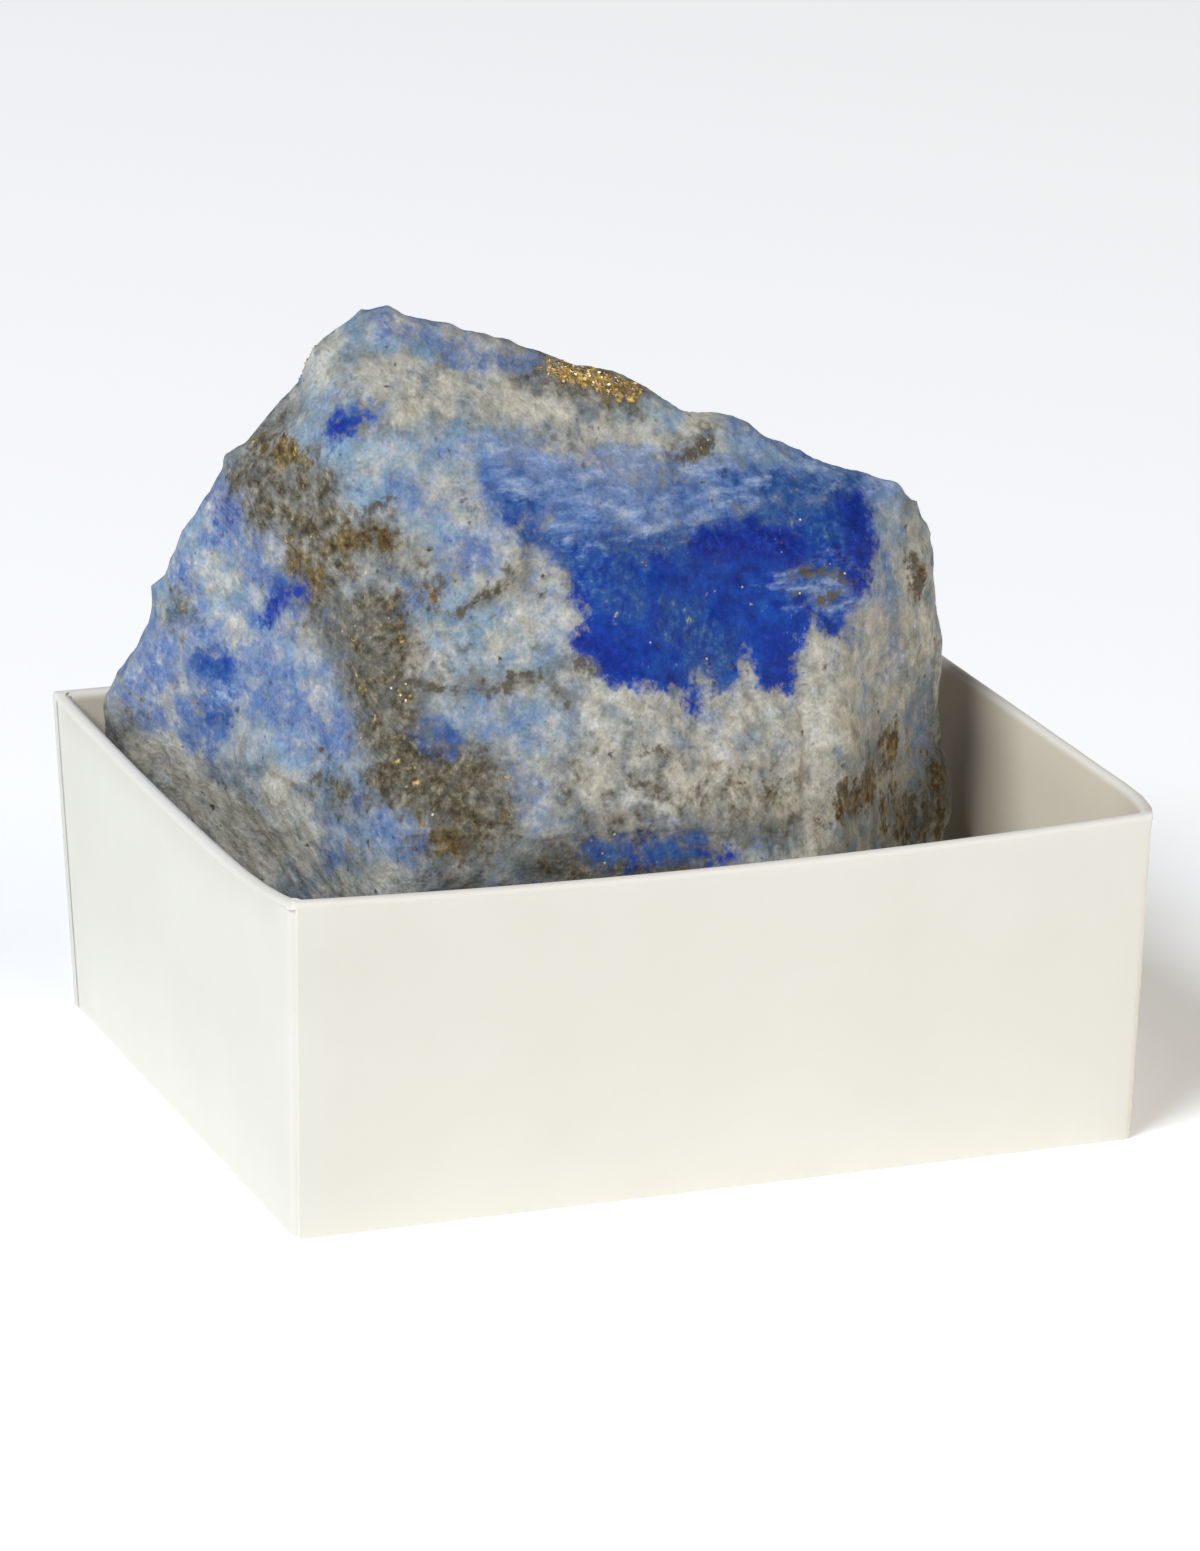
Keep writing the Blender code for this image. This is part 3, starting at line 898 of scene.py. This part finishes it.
@dataclass(frozen=True)
class Noise:
    """A material's noise: the size of its blotches in millimetres, how they break up, and their stretch."""

    size: float
    detail: float
    roughness: float
    shift: Point = (0.0, 0.0, 0.0)
    stretch: Point = (1.0, 1.0, 1.0)

    def add(self, tree: Tree, where: Socket) -> Socket:
        """Add the noise's nodes.

        Args:
            tree: The node tree to add to.
            where: The place in millimetres.

        Returns:
            The noise's value.
        """
        moved = {"Vector": where, "Location": self.shift, "Scale": self.stretch}
        inputs = {
            "Vector": add_node(tree, "ShaderNodeMapping", moved).outputs[0],
            "Scale": 1 / self.size,
            "Detail": self.detail,
            "Roughness": self.roughness,
        }
        return add_node(tree, "ShaderNodeTexNoise", inputs).outputs[0]


class Texture(Enum):
    """The noises that break up the minerals' edges and pick their colours.

    The rock's sugary grain is really about 0.1 to 0.3 mm wide. Dust is drawn at that size,
    and grain a little coarser, so that it shows.
    """

    MOTTLE = Noise(1.5, 5.0, 0.6)
    SECOND = Noise(1.05, 5.0, 0.6, (31.0, 17.0, 5.0))
    THIRD = Noise(1.2, 5.0, 0.6, (5.0, 41.0, 23.0))
    GRAIN = Noise(0.45, 3.0, 0.6, (7.0, 3.0, 11.0))
    DUST = Noise(0.2, 2.0, 0.5, (11.0, 5.0, 2.0))
    GRIT = Noise(0.6, 3.0, 0.7, (23.0, 2.0, 17.0))
    SPECK = Noise(0.7, 2.0, 0.5, (3.0, 13.0, 29.0))
    STREAK = Noise(1.5, 5.0, 0.65, stretch=(0.5, 1.0, 2.2))
    FALL = Noise(1.5, 5.0, 0.6, (2.0, 19.0, 7.0), (1.6, 1.6, 0.35))


@dataclass(frozen=True)
class Spread:
    """How a mineral's edge is broken up: by coarse and fine noise, and how soft it is, in mm."""

    coarse: float
    fine: float
    soft: float


@dataclass(frozen=True)
class Layer:
    """One mineral in the rock.

    One noise breaks up its edge coarsely and another finely. A third picks its colour
    from the stops. Start is the depth in millimetres at which the mineral begins.
    """

    mineral: Mineral
    coarse: Texture
    spread: Spread
    tint: Texture
    stops: Stops
    fine: Texture = Texture.GRAIN
    start: float = 0.0


# The rock between the minerals, and then each mineral over those before it.
GROUND_STOPS: Stops = ((0.3, "#6f706c"), (0.45, "#888984"), (0.58, "#9c9b93"), (0.72, "#afada2"))
LAYERS: tuple[Layer, ...] = (
    Layer(Mineral.SLATE, Texture.MOTTLE, Spread(0.8, 0.4, 1.1), Texture.SECOND,
          ((0.3, "#4a4c49"), (0.5, "#6d6e67"), (0.7, "#8d8c81"))),
    Layer(Mineral.HAZE, Texture.SECOND, Spread(0.8, 0.6, 1.4), Texture.THIRD,
          ((0.3, "#6487a6"), (0.5, "#86a2b8"), (0.7, "#a8bac5"))),
    Layer(Mineral.AZURE, Texture.THIRD, Spread(0.9, 0.95, 1.1), Texture.SECOND,
          ((0.3, "#4462a0"), (0.5, "#6480b0"), (0.7, "#8ca1bb"))),
    Layer(Mineral.AZURE, Texture.GRAIN, Spread(0.7, 0.4, 0.8), Texture.THIRD,
          ((0.3, "#35569b"), (0.7, "#5b77ab")), fine=Texture.SECOND, start=1.0),
    Layer(Mineral.CALCITE, Texture.MOTTLE, Spread(0.9, 0.5, 1.2), Texture.THIRD,
          ((0.3, "#a5a191"), (0.5, "#c3bfb1"), (0.7, "#dad7cc"))),
    Layer(Mineral.UMBER, Texture.SECOND, Spread(0.85, 0.5, 1.3), Texture.GRIT,
          ((0.3, "#372f20"), (0.44, "#524a38"), (0.56, "#6b6351"), (0.7, "#8e8773"))),
    Layer(Mineral.RUST, Texture.FALL, Spread(0.8, 0.6, 0.6), Texture.GRIT,
          ((0.3, "#392c14"), (0.45, "#5c4b2a"), (0.58, "#7a6842"), (0.7, "#9b8a66"))),
    Layer(Mineral.LAZURITE, Texture.SECOND, Spread(0.45, 0.3, 0.5), Texture.THIRD,
          ((0.28, "#0c2878"), (0.45, "#123a98"), (0.6, "#194ca8"), (0.75, "#2a64b2"))),
    Layer(Mineral.TEAL, Texture.THIRD, Spread(0.8, 0.35, 1.0), Texture.GRAIN,
          ((0.3, "#1b3c82"), (0.5, "#2b5494"), (0.7, "#4d709c"))),
    Layer(Mineral.FROST, Texture.STREAK, Spread(0.9, 0.4, 1.2), Texture.STREAK,
          ((0.3, "#4467aa"), (0.5, "#728dbd"), (0.7, "#acb9d0"))),
    Layer(Mineral.NAVY, Texture.THIRD, Spread(0.5, 0.35, 0.6), Texture.GRAIN,
          ((0.3, "#0b1d70"), (0.5, "#122d8e"), (0.7, "#1f43a6"))),
    # Painted shade: crack shade, dark brown-grey lines in cracks and under ledges.
    Layer(Mineral.CRACK, Texture.THIRD, Spread(0.2, 0.28, 0.26), Texture.GRAIN,
          ((0.3, "#423c32"), (0.7, "#6b6455"))),
)
GOLD_LAYER = Layer(
    Mineral.PYRITE, Texture.SECOND, Spread(0.4, 0.5, 0.4), Texture.GRAIN,
    ((0.35, "#5c4824"), (0.47, "#a07c3c"), (0.6, "#d6b160"), (0.75, "#f0d89a")), start=0.9,
)


@dataclass(frozen=True)
class RoughLapis:
    """Rough lapis lazuli: lazurite grown through calcite, weathered in olive-brown bands.

    The eye sees a dull, sugary break: deep blue where the lazurite is solid, powder blue
    and grey where calcite is mixed through it, cream where calcite is clean. Dark specks
    of weathering lie over all of it. Pale dots of pyrite are painted over it too, near
    white, a painted highlight for the pyrite's sparkle as well as its colour. Bedding is
    the angle in degrees at which the minerals are drawn out. Noise reach is how far in
    millimetres a full noise moves a mineral's edge. Glint size is the width in millimetres
    of the cell that may hold a painted glint, and glint radius is a share of it.
    """

    bedding: float = 22.0
    drawn_out: float = 0.6
    noise_reach: float = 6.0
    speck_limits: Limits = (0.68, 0.78)
    speck_stops: Stops = ((0.3, "#3d382e"), (0.7, "#6b5a43"))
    dust_range: Limits = (0.7, 1.3)
    dust_gain: Limits = (0.78, 1.2)
    glint_size: float = 0.55
    glint_radius: Limits = (0.16, 0.1)
    glint_depth_share: float = 0.35
    glint_limits: Limits = (0.78, 0.82)
    # Painted highlight: the pale colours of the painted pyrite glints.
    glint_stops: Stops = ((0.35, "#c4b283"), (0.6, "#ece5d2"))
    roughness: float = 0.65
    gloss: float = 0.18
    grain_share: float = 0.6
    relief: float = 0.6
    relief_height: float = 0.25

    def make(self) -> bpy.types.Material:
        """Build the material.

        Returns:
            The material, reading the stone's depth attributes and Object coordinates.
        """
        material, tree, shader = new_material(
            "rough_lapis_lazuli_broken_and_worn", Roughness=self.roughness, Specular_IOR_Level=self.gloss,
        )
        where = self.bedded(tree)
        noises = {texture: texture.value.add(tree, where) for texture in Texture}
        ground = {"Fac": noises[Texture.MOTTLE]}
        colour = add_node(tree, "ShaderNodeValToRGB", ground, GROUND_STOPS).outputs["Color"]
        for layer in LAYERS:
            colour = self.lay(tree, noises, colour, layer)
        low, high = self.speck_limits
        specks = add_node(
            tree, "ShaderNodeMapRange", {"Value": noises[Texture.SPECK], "From Min": low, "From Max": high},
        ).outputs[0]
        colour = paint_over(tree, colour, specks, noises[Texture.SECOND], self.speck_stops)
        both = add_node(
            tree, "ShaderNodeMath", {0: noises[Texture.DUST], 1: noises[Texture.GRIT]}, operation="ADD",
        ).outputs[0]
        low, high = self.dust_range
        dark, light = self.dust_gain
        bright = add_node(
            tree, "ShaderNodeMapRange",
            {"Value": both, "From Min": low, "From Max": high, "To Min": dark, "To Max": light},
        ).outputs[0]
        colour = add_node(
            tree, "ShaderNodeMix", {0: 1.0, 6: colour, 7: bright}, data_type="RGBA", blend_type="MULTIPLY",
        ).outputs[2]
        colour = self.lay(tree, noises, colour, GOLD_LAYER)
        # Painted highlight: pale pyrite dots painted into the colour as glints.
        colour = paint_over(tree, colour, self.glints(tree, where), noises[Texture.DUST], self.glint_stops)
        tree.links.new(colour, shader.inputs["Base Color"])
        height = add_node(
            tree, "ShaderNodeMath",
            {0: noises[Texture.GRAIN], 1: self.grain_share, 2: noises[Texture.MOTTLE]},
            operation="MULTIPLY_ADD",
        ).outputs[0]
        inputs = {"Strength": self.relief, "Distance": self.relief_height * MM, "Height": height}
        tree.links.new(add_node(tree, "ShaderNodeBump", inputs).outputs[0], shader.inputs["Normal"])
        return material

    def bedded(self, tree: Tree) -> Socket:
        """Turn the rock's coordinates to its bedding and draw them out along it.

        Args:
            tree: The node tree to add to.

        Returns:
            The place in millimetres.
        """
        where = add_node(tree, "ShaderNodeTexCoord").outputs["Object"]
        turn = {"Vector": where, "Angle": math.radians(self.bedding)}
        turned = add_node(tree, "ShaderNodeVectorRotate", turn).outputs[0]
        scaled = {0: turned, 1: (1 / MM, self.drawn_out / MM, 1 / MM)}
        return add_node(tree, "ShaderNodeVectorMath", scaled, operation="MULTIPLY").outputs[0]

    def lay(self, tree: Tree, noises: dict[Texture, Socket], below: Socket, layer: Layer) -> Socket:
        """Lay one mineral over the colour below it.

        Args:
            tree: The node tree to add to.
            noises: Each texture's value.
            below: The colour so far.
            layer: The mineral, and how it is broken up and coloured.

        Returns:
            The colour with the mineral on it, where its depth and the noises together are enough.
        """
        depth = add_node(tree, "ShaderNodeAttribute", attribute_name=layer.mineral.value).outputs["Fac"]
        for texture, share in ((layer.coarse, layer.spread.coarse), (layer.fine, layer.spread.fine)):
            inputs = {0: noises[texture], 1: share * self.noise_reach, 2: depth}
            depth = add_node(tree, "ShaderNodeMath", inputs, operation="MULTIPLY_ADD").outputs[0]
        middle = layer.start + 0.5 * self.noise_reach * (layer.spread.coarse + layer.spread.fine)
        soft = layer.spread.soft
        inputs = {"Value": depth, "From Min": middle - soft, "From Max": middle + soft}
        cover = add_node(tree, "ShaderNodeMapRange", inputs, interpolation_type="SMOOTHSTEP").outputs[0]
        return paint_over(tree, below, cover, noises[layer.tint], layer.stops)

    def glints(self, tree: Tree, where: Socket) -> Socket:
        """Scatter pale pyrite dots, painted in near white as glints, a painted highlight, and more of them
        where the pyrite runs deep.

        Args:
            tree: The node tree to add to.
            where: The place in millimetres.

        Returns:
            A value that is 1 on a painted glint.
        """
        scattered = {"Vector": where, "Scale": 1 / self.glint_size}
        cells = add_node(tree, "ShaderNodeTexVoronoi", scattered).outputs
        depth = add_node(tree, "ShaderNodeAttribute", attribute_name=Mineral.PYRITE.value).outputs["Fac"]
        chance = add_node(
            tree, "ShaderNodeMath", {0: depth, 1: self.glint_depth_share, 2: cells["Color"]},
            operation="MULTIPLY_ADD",
        ).outputs[0]
        shares = []
        for value, (low, high) in ((cells["Distance"], self.glint_radius), (chance, self.glint_limits)):
            limits = {"Value": value, "From Min": low, "From Max": high}
            shares.append(add_node(tree, "ShaderNodeMapRange", limits).outputs[0])
        return add_node(tree, "ShaderNodeMath", dict(enumerate(shares)), operation="MULTIPLY").outputs[0]


@dataclass(frozen=True)
class WhiteCard:
    """Uncoated white specimen board, folded: an even white with a faint fibrous surface.

    The eye sees a clean white outside. Faces that turn up, such as the rims, are painted
    whiter, a painted highlight where they catch more light. Faces inside the tray are painted
    a warmer tint, painted shade for the warm light bounced about in it. Its fibres are really
    about 0.03 mm thick and are drawn ten times as coarse, so that they show.
    """

    outer: Stops = ((0.3, "#e6e3d7"), (0.7, "#e9e6db"))
    # Painted shade: a warmer tint on the faces inside the tray, for the warm light bounced about in it.
    warm_shade_lining: str = "#ebdfc8"
    # Painted highlight: the whiter colour of faces that turn up, such as the rim tops.
    edge: str = "#f6f0e5"
    highlight_slope: Limits = (0.4, 0.8)
    turn: float = 0.004
    cloud: Noise = Noise(7.0, 3.0, 0.5)
    fibre: Noise = Noise(0.3, 4.0, 0.5)
    fibre_relief: float = 0.1
    fibre_height: float = 0.05
    roughness: float = 0.65
    gloss: float = 0.3

    def make(self) -> bpy.types.Material:
        """Build the material.

        Returns:
            The material, reading Object coordinates with the tray's middle at their origin.
        """
        material, tree, shader = new_material(
            "white_specimen_board_folded", Roughness=self.roughness, Specular_IOR_Level=self.gloss,
        )
        coordinates = add_node(tree, "ShaderNodeTexCoord").outputs
        where = add_node(
            tree, "ShaderNodeVectorMath", {0: coordinates["Object"], 3: 1 / MM}, operation="SCALE",
        ).outputs[0]
        flattened = {0: coordinates["Object"], 1: (1.0, 1.0, 0.0)}
        level = add_node(tree, "ShaderNodeVectorMath", flattened, operation="MULTIPLY").outputs[0]
        outward = add_node(
            tree, "ShaderNodeVectorMath", {0: level, 1: coordinates["Normal"]}, operation="DOT_PRODUCT",
        ).outputs["Value"]
        # Faces that turn inward get the painted warm shade tint, and those that turn outward the card's own
        # white.
        outside = add_node(
            tree, "ShaderNodeMapRange", {"Value": outward, "From Min": -self.turn, "From Max": self.turn},
        ).outputs[0]
        card = paint_over(tree, linear(self.warm_shade_lining), outside, self.cloud.add(tree, where), self.outer)
        # Painted highlight: faces that turn up are painted whiter.
        slope = add_node(tree, "ShaderNodeSeparateXYZ", {"Vector": coordinates["Normal"]}).outputs["Z"]
        low, high = self.highlight_slope
        painted_highlight = add_node(
            tree, "ShaderNodeMapRange", {"Value": slope, "From Min": low, "From Max": high},
        ).outputs[0]
        card = add_node(
            tree, "ShaderNodeMix", {0: painted_highlight, 6: card, 7: linear(self.edge)}, data_type="RGBA",
        ).outputs[2]
        tree.links.new(card, shader.inputs["Base Color"])
        height = self.fibre.add(tree, where)
        inputs = {"Strength": self.fibre_relief, "Distance": self.fibre_height * MM, "Height": height}
        tree.links.new(add_node(tree, "ShaderNodeBump", inputs).outputs[0], shader.inputs["Normal"])
        return material


@dataclass
class CardTray:
    """The folding tray: a tub of thin card with a front and a back wall folded over double.

    It is modelled upright and straight, and then leaned and bowed as the photograph shows.
    The double walls stand proud of the tub and above it, and the front one starts short of
    the left corner. An edge is picked to be rounded where it lies within close of a side
    or within level of the top or base, and where it is longer than long.
    """

    node: str = "card_tray"
    half_length: float = 28.0
    half_depth: float = 22.15
    height: float = 20.2
    single: float = 0.9
    double: float = 1.2
    floor: float = 1.0
    proud: float = 0.28
    tub_drop: float = 0.06
    front_short: float = 0.35
    rim_roll: float = 0.42
    fold_radius: float = 0.55
    base_round: float = 0.22
    wrap_roll: float = 0.5
    cut_round: float = 0.08
    close: float = 0.1
    level: float = 0.01
    long: float = 5.0
    lean_left: float = 1.05
    lean_right: float = 1.95
    lean_front: float = 1.7
    lean_back: float = 1.5
    front_drawn_in: float = 0.35
    left_bowed_out: float = 0.5
    right_pulled_in: float = 2.6
    corner_rise: float = 0.8
    pull_length: float = 9.0
    cut_step: float = 2.8
    crease: float = 32.0

    def build(self) -> bpy.types.Object:
        """Fold the tray and give it its card.

        Returns:
            The dressed tray.
        """
        tray = self.tub()
        for front in (True, False):
            wrap = self.wrap(front)
            apply_modifier(tray, "BOOLEAN", operation="UNION", solver="EXACT", object=wrap)
            bpy.data.objects.remove(wrap)
        self.divide(tray)
        put_places(tray.data, self.leaned(places_of(tray.data)))
        only(tray)
        bpy.ops.object.shade_smooth_by_angle(angle=math.radians(self.crease))
        dress(tray, WhiteCard().make())
        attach(tray, "root")
        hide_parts(self.node)
        return tray

    @staticmethod
    def box(name: str, low: Point, high: Point) -> bpy.types.Object:
        """Make a plain block, with nothing on it selected.

        Args:
            name: Its name.
            low: Its lowest corner.
            high: The opposite corner.

        Returns:
            The block.
        """
        bpy.ops.object.select_all(action="DESELECT")
        middle = [(a + b) / 2 * MM for a, b in zip(low, high)]
        bpy.ops.mesh.primitive_cube_add(size=1.0, location=middle)
        block = bpy.context.object
        block.name = name
        block.scale = [(b - a) * MM for a, b in zip(low, high)]
        bpy.ops.object.transform_apply(location=True, rotation=True, scale=True)
        bpy.ops.object.mode_set(mode="EDIT")
        bpy.ops.mesh.select_all(action="DESELECT")
        bpy.ops.object.mode_set(mode="OBJECT")
        return block

    @staticmethod
    def bevel_edges(
        block: bpy.types.Object, wanted: Callable[[Vector, Vector], bool], width: float, steps: int = 4,
    ) -> None:
        """Round the edges that a test of their two ends picks.

        Args:
            block: The object, in object mode.
            wanted: A test of two vertex places in millimetres.
            width: The radius in millimetres.
            steps: How many steps the rounding has.
        """
        mesh = block.data
        for part in (*mesh.polygons, *mesh.vertices):
            part.select = False
        for edge in mesh.edges:
            edge.select = wanted(*(mesh.vertices[number].co / MM for number in edge.vertices))
        bpy.ops.object.mode_set(mode="EDIT")
        bpy.ops.mesh.select_mode(type="EDGE")
        bpy.ops.mesh.bevel(offset=width * MM, segments=steps, affect="EDGES")
        bpy.ops.object.mode_set(mode="OBJECT")

    def tub(self) -> bpy.types.Object:
        """Make the tub: floor, single left and right walls, and thin backing for the double walls.

        Returns:
            The tub.
        """
        top = self.height - self.tub_drop
        depth = self.half_depth - self.proud
        length = self.half_length
        block = self.box("folded_card_tray", (-length, -depth, 0.0), (length, depth, top))
        for polygon in block.data.polygons:
            polygon.select = round(polygon.normal.z) == 1
        bpy.ops.object.mode_set(mode="EDIT")
        bpy.ops.mesh.select_mode(type="FACE")
        bpy.ops.mesh.inset(thickness=self.single * MM)
        down = (0.0, 0.0, (self.floor - top) * MM)
        bpy.ops.mesh.extrude_region_move(TRANSFORM_OT_translate={"value": down})
        bpy.ops.object.mode_set(mode="OBJECT")
        outer = length - self.single + self.close
        self.bevel_edges(block, lambda a, b: min(a.z, b.z) > top - self.level, self.rim_roll)
        self.bevel_edges(
            block,
            lambda a, b: abs(a.z - b.z) > self.long and max(abs(a.x), abs(b.x)) > outer,
            self.fold_radius,
        )
        self.bevel_edges(block, lambda a, b: max(a.z, b.z) < self.level, self.base_round, steps=2)
        return block

    def wrap(self, front: bool) -> bpy.types.Object:
        """Make a double wall, folded over at the rim, standing proud of the tub's end.

        Args:
            front: Whether it is the front wall, not the back one.

        Returns:
            The wall.
        """
        end, top = self.half_length, self.height
        outer, inner = self.half_depth, self.half_depth - self.double
        if front:
            start = self.front_short - end
            block = self.box("front_double_wall", (start, -outer, 0.0), (end, -inner, top))
        else:
            start = -end
            block = self.box("back_double_wall", (start, inner, 0.0), (end, outer, top))
        self.bevel_edges(
            block,
            lambda a, b: min(a.z, b.z) > top - self.level and abs(a.x - b.x) > self.long,
            self.wrap_roll,
            steps=5,
        )
        self.bevel_edges(
            block,
            lambda a, b: abs(a.z - b.z) > self.long and min(a.x, b.x) > end - self.close,
            self.wrap_roll,
        )
        self.bevel_edges(block, lambda a, b: max(a.x, b.x) < start + self.close, self.cut_round, steps=2)
        return block

    def divide(self, tray: bpy.types.Object) -> None:
        """Cut the walls across at an even step, so that they can bow.

        Args:
            tray: The tray, which is changed.
        """
        only(tray)
        bpy.ops.object.mode_set(mode="EDIT")
        low = (-self.half_length, -self.half_depth, 0.0)
        high = (self.half_length, self.half_depth, self.height)
        for axis, (start, end) in enumerate(zip(low, high)):
            count = int((end - start) / self.cut_step)
            way = [float(axis == other) for other in range(3)]
            for number in range(1, count):
                place = (start + (end - start) * number / count) * MM
                bpy.ops.mesh.select_all(action="SELECT")
                bpy.ops.mesh.bisect(plane_co=[place * share for share in way], plane_no=way)
        bpy.ops.object.mode_set(mode="OBJECT")

    def leaned(self, places: np.ndarray) -> np.ndarray:
        """Lean the walls in at the base, bow them, and raise the rims at the front corners.

        Args:
            places: The straight tray's vertices in millimetres, one row each.

        Returns:
            Their new places.
        """
        x, y, z = places.T
        across, along = x / self.half_length, y / self.half_depth
        high = z / self.height
        right, back = (across + 1.0) / 2.0, (along + 1.0) / 2.0
        new_x = x + (1.0 - high) * (self.lean_left * (1.0 - right) - self.lean_right * right)
        new_y = y + (1.0 - high) * (self.lean_front * (1.0 - back) - self.lean_back * back)
        drawn_in = self.front_drawn_in * (1.0 - across**2) * high
        new_y = new_y + np.where(y < 0.0, drawn_in * -along, 0.0)
        near = np.maximum(0.0, 1.0 - (y + self.half_depth) / self.pull_length)
        new_x = new_x - np.where(x > 0.0, self.right_pulled_in * near**2 * high * across, 0.0)
        bowed_out = self.left_bowed_out * (1.0 - along**2) * high
        new_x = new_x + np.where(x < 0.0, bowed_out * across, 0.0)
        behind = y + self.half_depth - self.double
        raised = np.clip(1.0 - behind / self.pull_length, 0.0, 1.0) ** 2
        return np.column_stack([new_x, new_y, z + self.corner_rise * raised * high * across**2])


@dataclass(frozen=True)
class Pyrite:
    """Pyrite: brassy metal in tiny broken cubes, seen as pale gold sparks on the rock."""

    colour: str = "#cdb688"
    roughness: float = 0.45

    def make(self) -> bpy.types.Material:
        """Build the material."""
        values = {"Base_Color": linear(self.colour), "Metallic": 1.0, "Roughness": self.roughness}
        return new_material("pyrite_brassy_grains", **values)[0]


@dataclass
class PyriteGrains:
    """The pyrite that stands out of the rock as grains, most of it in the gold patch.

    Rich is the depth in millimetres over which grains crowd and grow. Elsewhere a few
    strays stand where the pyrite's depth plus the reserve is above zero.
    """

    count: int = 620
    least: float = 0.09
    most: float = 0.17
    patch_growth: float = 1.7
    rich: Limits = (0.4, 0.8)
    stray_chance: float = 0.03
    stray_reserve: float = 0.3
    stretch: Limits = (0.7, 1.2)
    sunk: float = 0.15
    chipped: float = 0.12
    seed: int = 7

    def build(self, stone: bpy.types.Object) -> bpy.types.Object:
        """Set grains into the stone where its pyrite runs deep enough.

        Args:
            stone: The dressed stone, with its depth attributes.

        Returns:
            All the grains as one object.
        """
        places = places_of(stone.data)
        normals = normals_of(stone.data)
        depth = np.empty(len(places), np.float32)
        stone.data.attributes[Mineral.PYRITE.value].data.foreach_get("value", depth)
        rich = smoothstep(*self.rich, depth)
        chance = self.stray_chance * np.clip(depth + self.stray_reserve, 0.0, 1.0) ** 2 + rich
        maker = np.random.default_rng(self.seed)
        picked = maker.choice(len(places), self.count, replace=False, p=chance / chance.sum())
        grain = self.one_grain()
        corners = np.array([vertex.co for vertex in grain.vertices])
        faces = [tuple(polygon.vertices) for polygon in grain.polygons]
        all_corners: list[Point] = []
        all_faces: list[tuple[int, ...]] = []
        turner = random.Random(self.seed)
        for number in picked:
            size = turner.uniform(self.least, self.most) * (1.0 + rich[number] * (self.patch_growth - 1.0))
            turn = Euler([turner.uniform(0.0, math.tau) for _ in range(3)]).to_matrix()
            stretch = [turner.uniform(*self.stretch) for _ in range(3)]
            shape = (corners * stretch) @ np.array(turn).T * size
            at = places[number] - normals[number] * size * self.sunk
            start = len(all_corners)
            all_corners.extend(map(tuple, (shape + at) * MM))
            all_faces.extend(tuple(start + corner for corner in face) for face in faces)
        joined = bpy.data.meshes.new("pyrite_grains")
        joined.from_pydata(all_corners, [], all_faces)
        grains = bpy.data.objects.new("pyrite_grains", joined)
        bpy.context.scene.collection.objects.link(grains)
        bpy.data.meshes.remove(grain)
        dress(grains, Pyrite().make())
        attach(grains, "root")
        return grains

    def one_grain(self) -> bpy.types.Mesh:
        """Make a cube one unit across with chipped edges.

        Returns:
            Its mesh.
        """
        bpy.ops.object.select_all(action="DESELECT")
        bpy.ops.mesh.primitive_cube_add(size=1.0)
        cube = bpy.context.object
        bpy.ops.object.mode_set(mode="EDIT")
        bpy.ops.mesh.select_all(action="SELECT")
        bpy.ops.mesh.bevel(offset=self.chipped, segments=1, affect="EDGES")
        bpy.ops.object.mode_set(mode="OBJECT")
        mesh = cube.data
        bpy.data.objects.remove(cube)
        return mesh


@dataclass(frozen=True)
class Softbox:
    """One soft light: its place and size in metres, its power in watts and its colour."""

    name: str
    place: Point
    size: float
    watts: float
    colour: str
    aim: Point = (0.0, 0.0, 0.02)

    def make(self) -> None:
        """Stand the light in the scene, facing the stone."""
        data = bpy.data.lights.new(self.name, "AREA")
        data.shape = "DISK"
        data.size = self.size
        data.energy = self.watts
        data.color = linear(self.colour)[:3]
        light = bpy.data.objects.new(self.name, data)
        light.location = self.place
        light.rotation_euler = (Vector(self.aim) - light.location).to_track_quat("-Z", "Y").to_euler()
        bpy.context.scene.collection.objects.link(light)


@dataclass
class Studio:
    """The plain pale floor, six metres across, and the soft light of the photograph."""

    floor_size: float = 6.0
    floor_white: float = 0.97
    floor_roughness: float = 0.9
    floor_glow: float = 0.28
    sky: float = 0.016
    sky_colour: str = "#fff6ea"
    lights: tuple[Softbox, ...] = (
        Softbox("key", (-1.30, -0.84, 1.46), 0.9, 41.7, "#f1f7ff"),
        Softbox("fill", (1.7, -0.9, 0.55), 1.2, 16.9, "#fff3e2"),
        Softbox("back", (-0.90, 0.55, 1.30), 0.8, 2.4, "#f4f8ff"),
    )

    def build(self) -> None:
        """Make the floor, the sky and the lights."""
        self.make_floor()
        world = bpy.data.worlds.new("studio")
        world.use_nodes = True
        background = world.node_tree.nodes["Background"]
        background.inputs["Color"].default_value = linear(self.sky_colour)
        background.inputs["Strength"].default_value = self.sky
        bpy.context.scene.world = world
        for light in self.lights:
            light.make()
        bpy.context.scene.view_settings.view_transform = "Standard"

    def make_floor(self) -> None:
        """Lay the floor: a matt white backdrop, which the eye sees as an even pale ground."""
        bpy.ops.object.select_all(action="DESELECT")
        bpy.ops.mesh.primitive_plane_add(size=self.floor_size)
        floor = bpy.context.object
        floor.name = "floor"
        white = (self.floor_white, self.floor_white, self.floor_white, 1.0)
        values = {
            "Base_Color": white,
            "Roughness": self.floor_roughness,
            "Emission_Color": (1.0, 1.0, 1.0, 1.0),
            "Emission_Strength": self.floor_glow,
        }
        dress(floor, new_material("pale_floor", **values)[0])


def main() -> None:
    """Build the object's pieces in order, then the camera, the floor and the light."""
    logging.basicConfig(level=logging.INFO, format="%(name)s: %(message)s")
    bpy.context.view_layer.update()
    PhotoCamera().make()
    stone = LapisStone().build()
    LOG.info("stone: %d faces", len(stone.data.polygons))
    grains = PyriteGrains().build(stone)
    LOG.info("pyrite: %d faces", len(grains.data.polygons))
    tray = CardTray().build()
    LOG.info("tray: %d faces", len(tray.data.polygons))
    Studio().build()


if __name__ == "__main__":
    main()
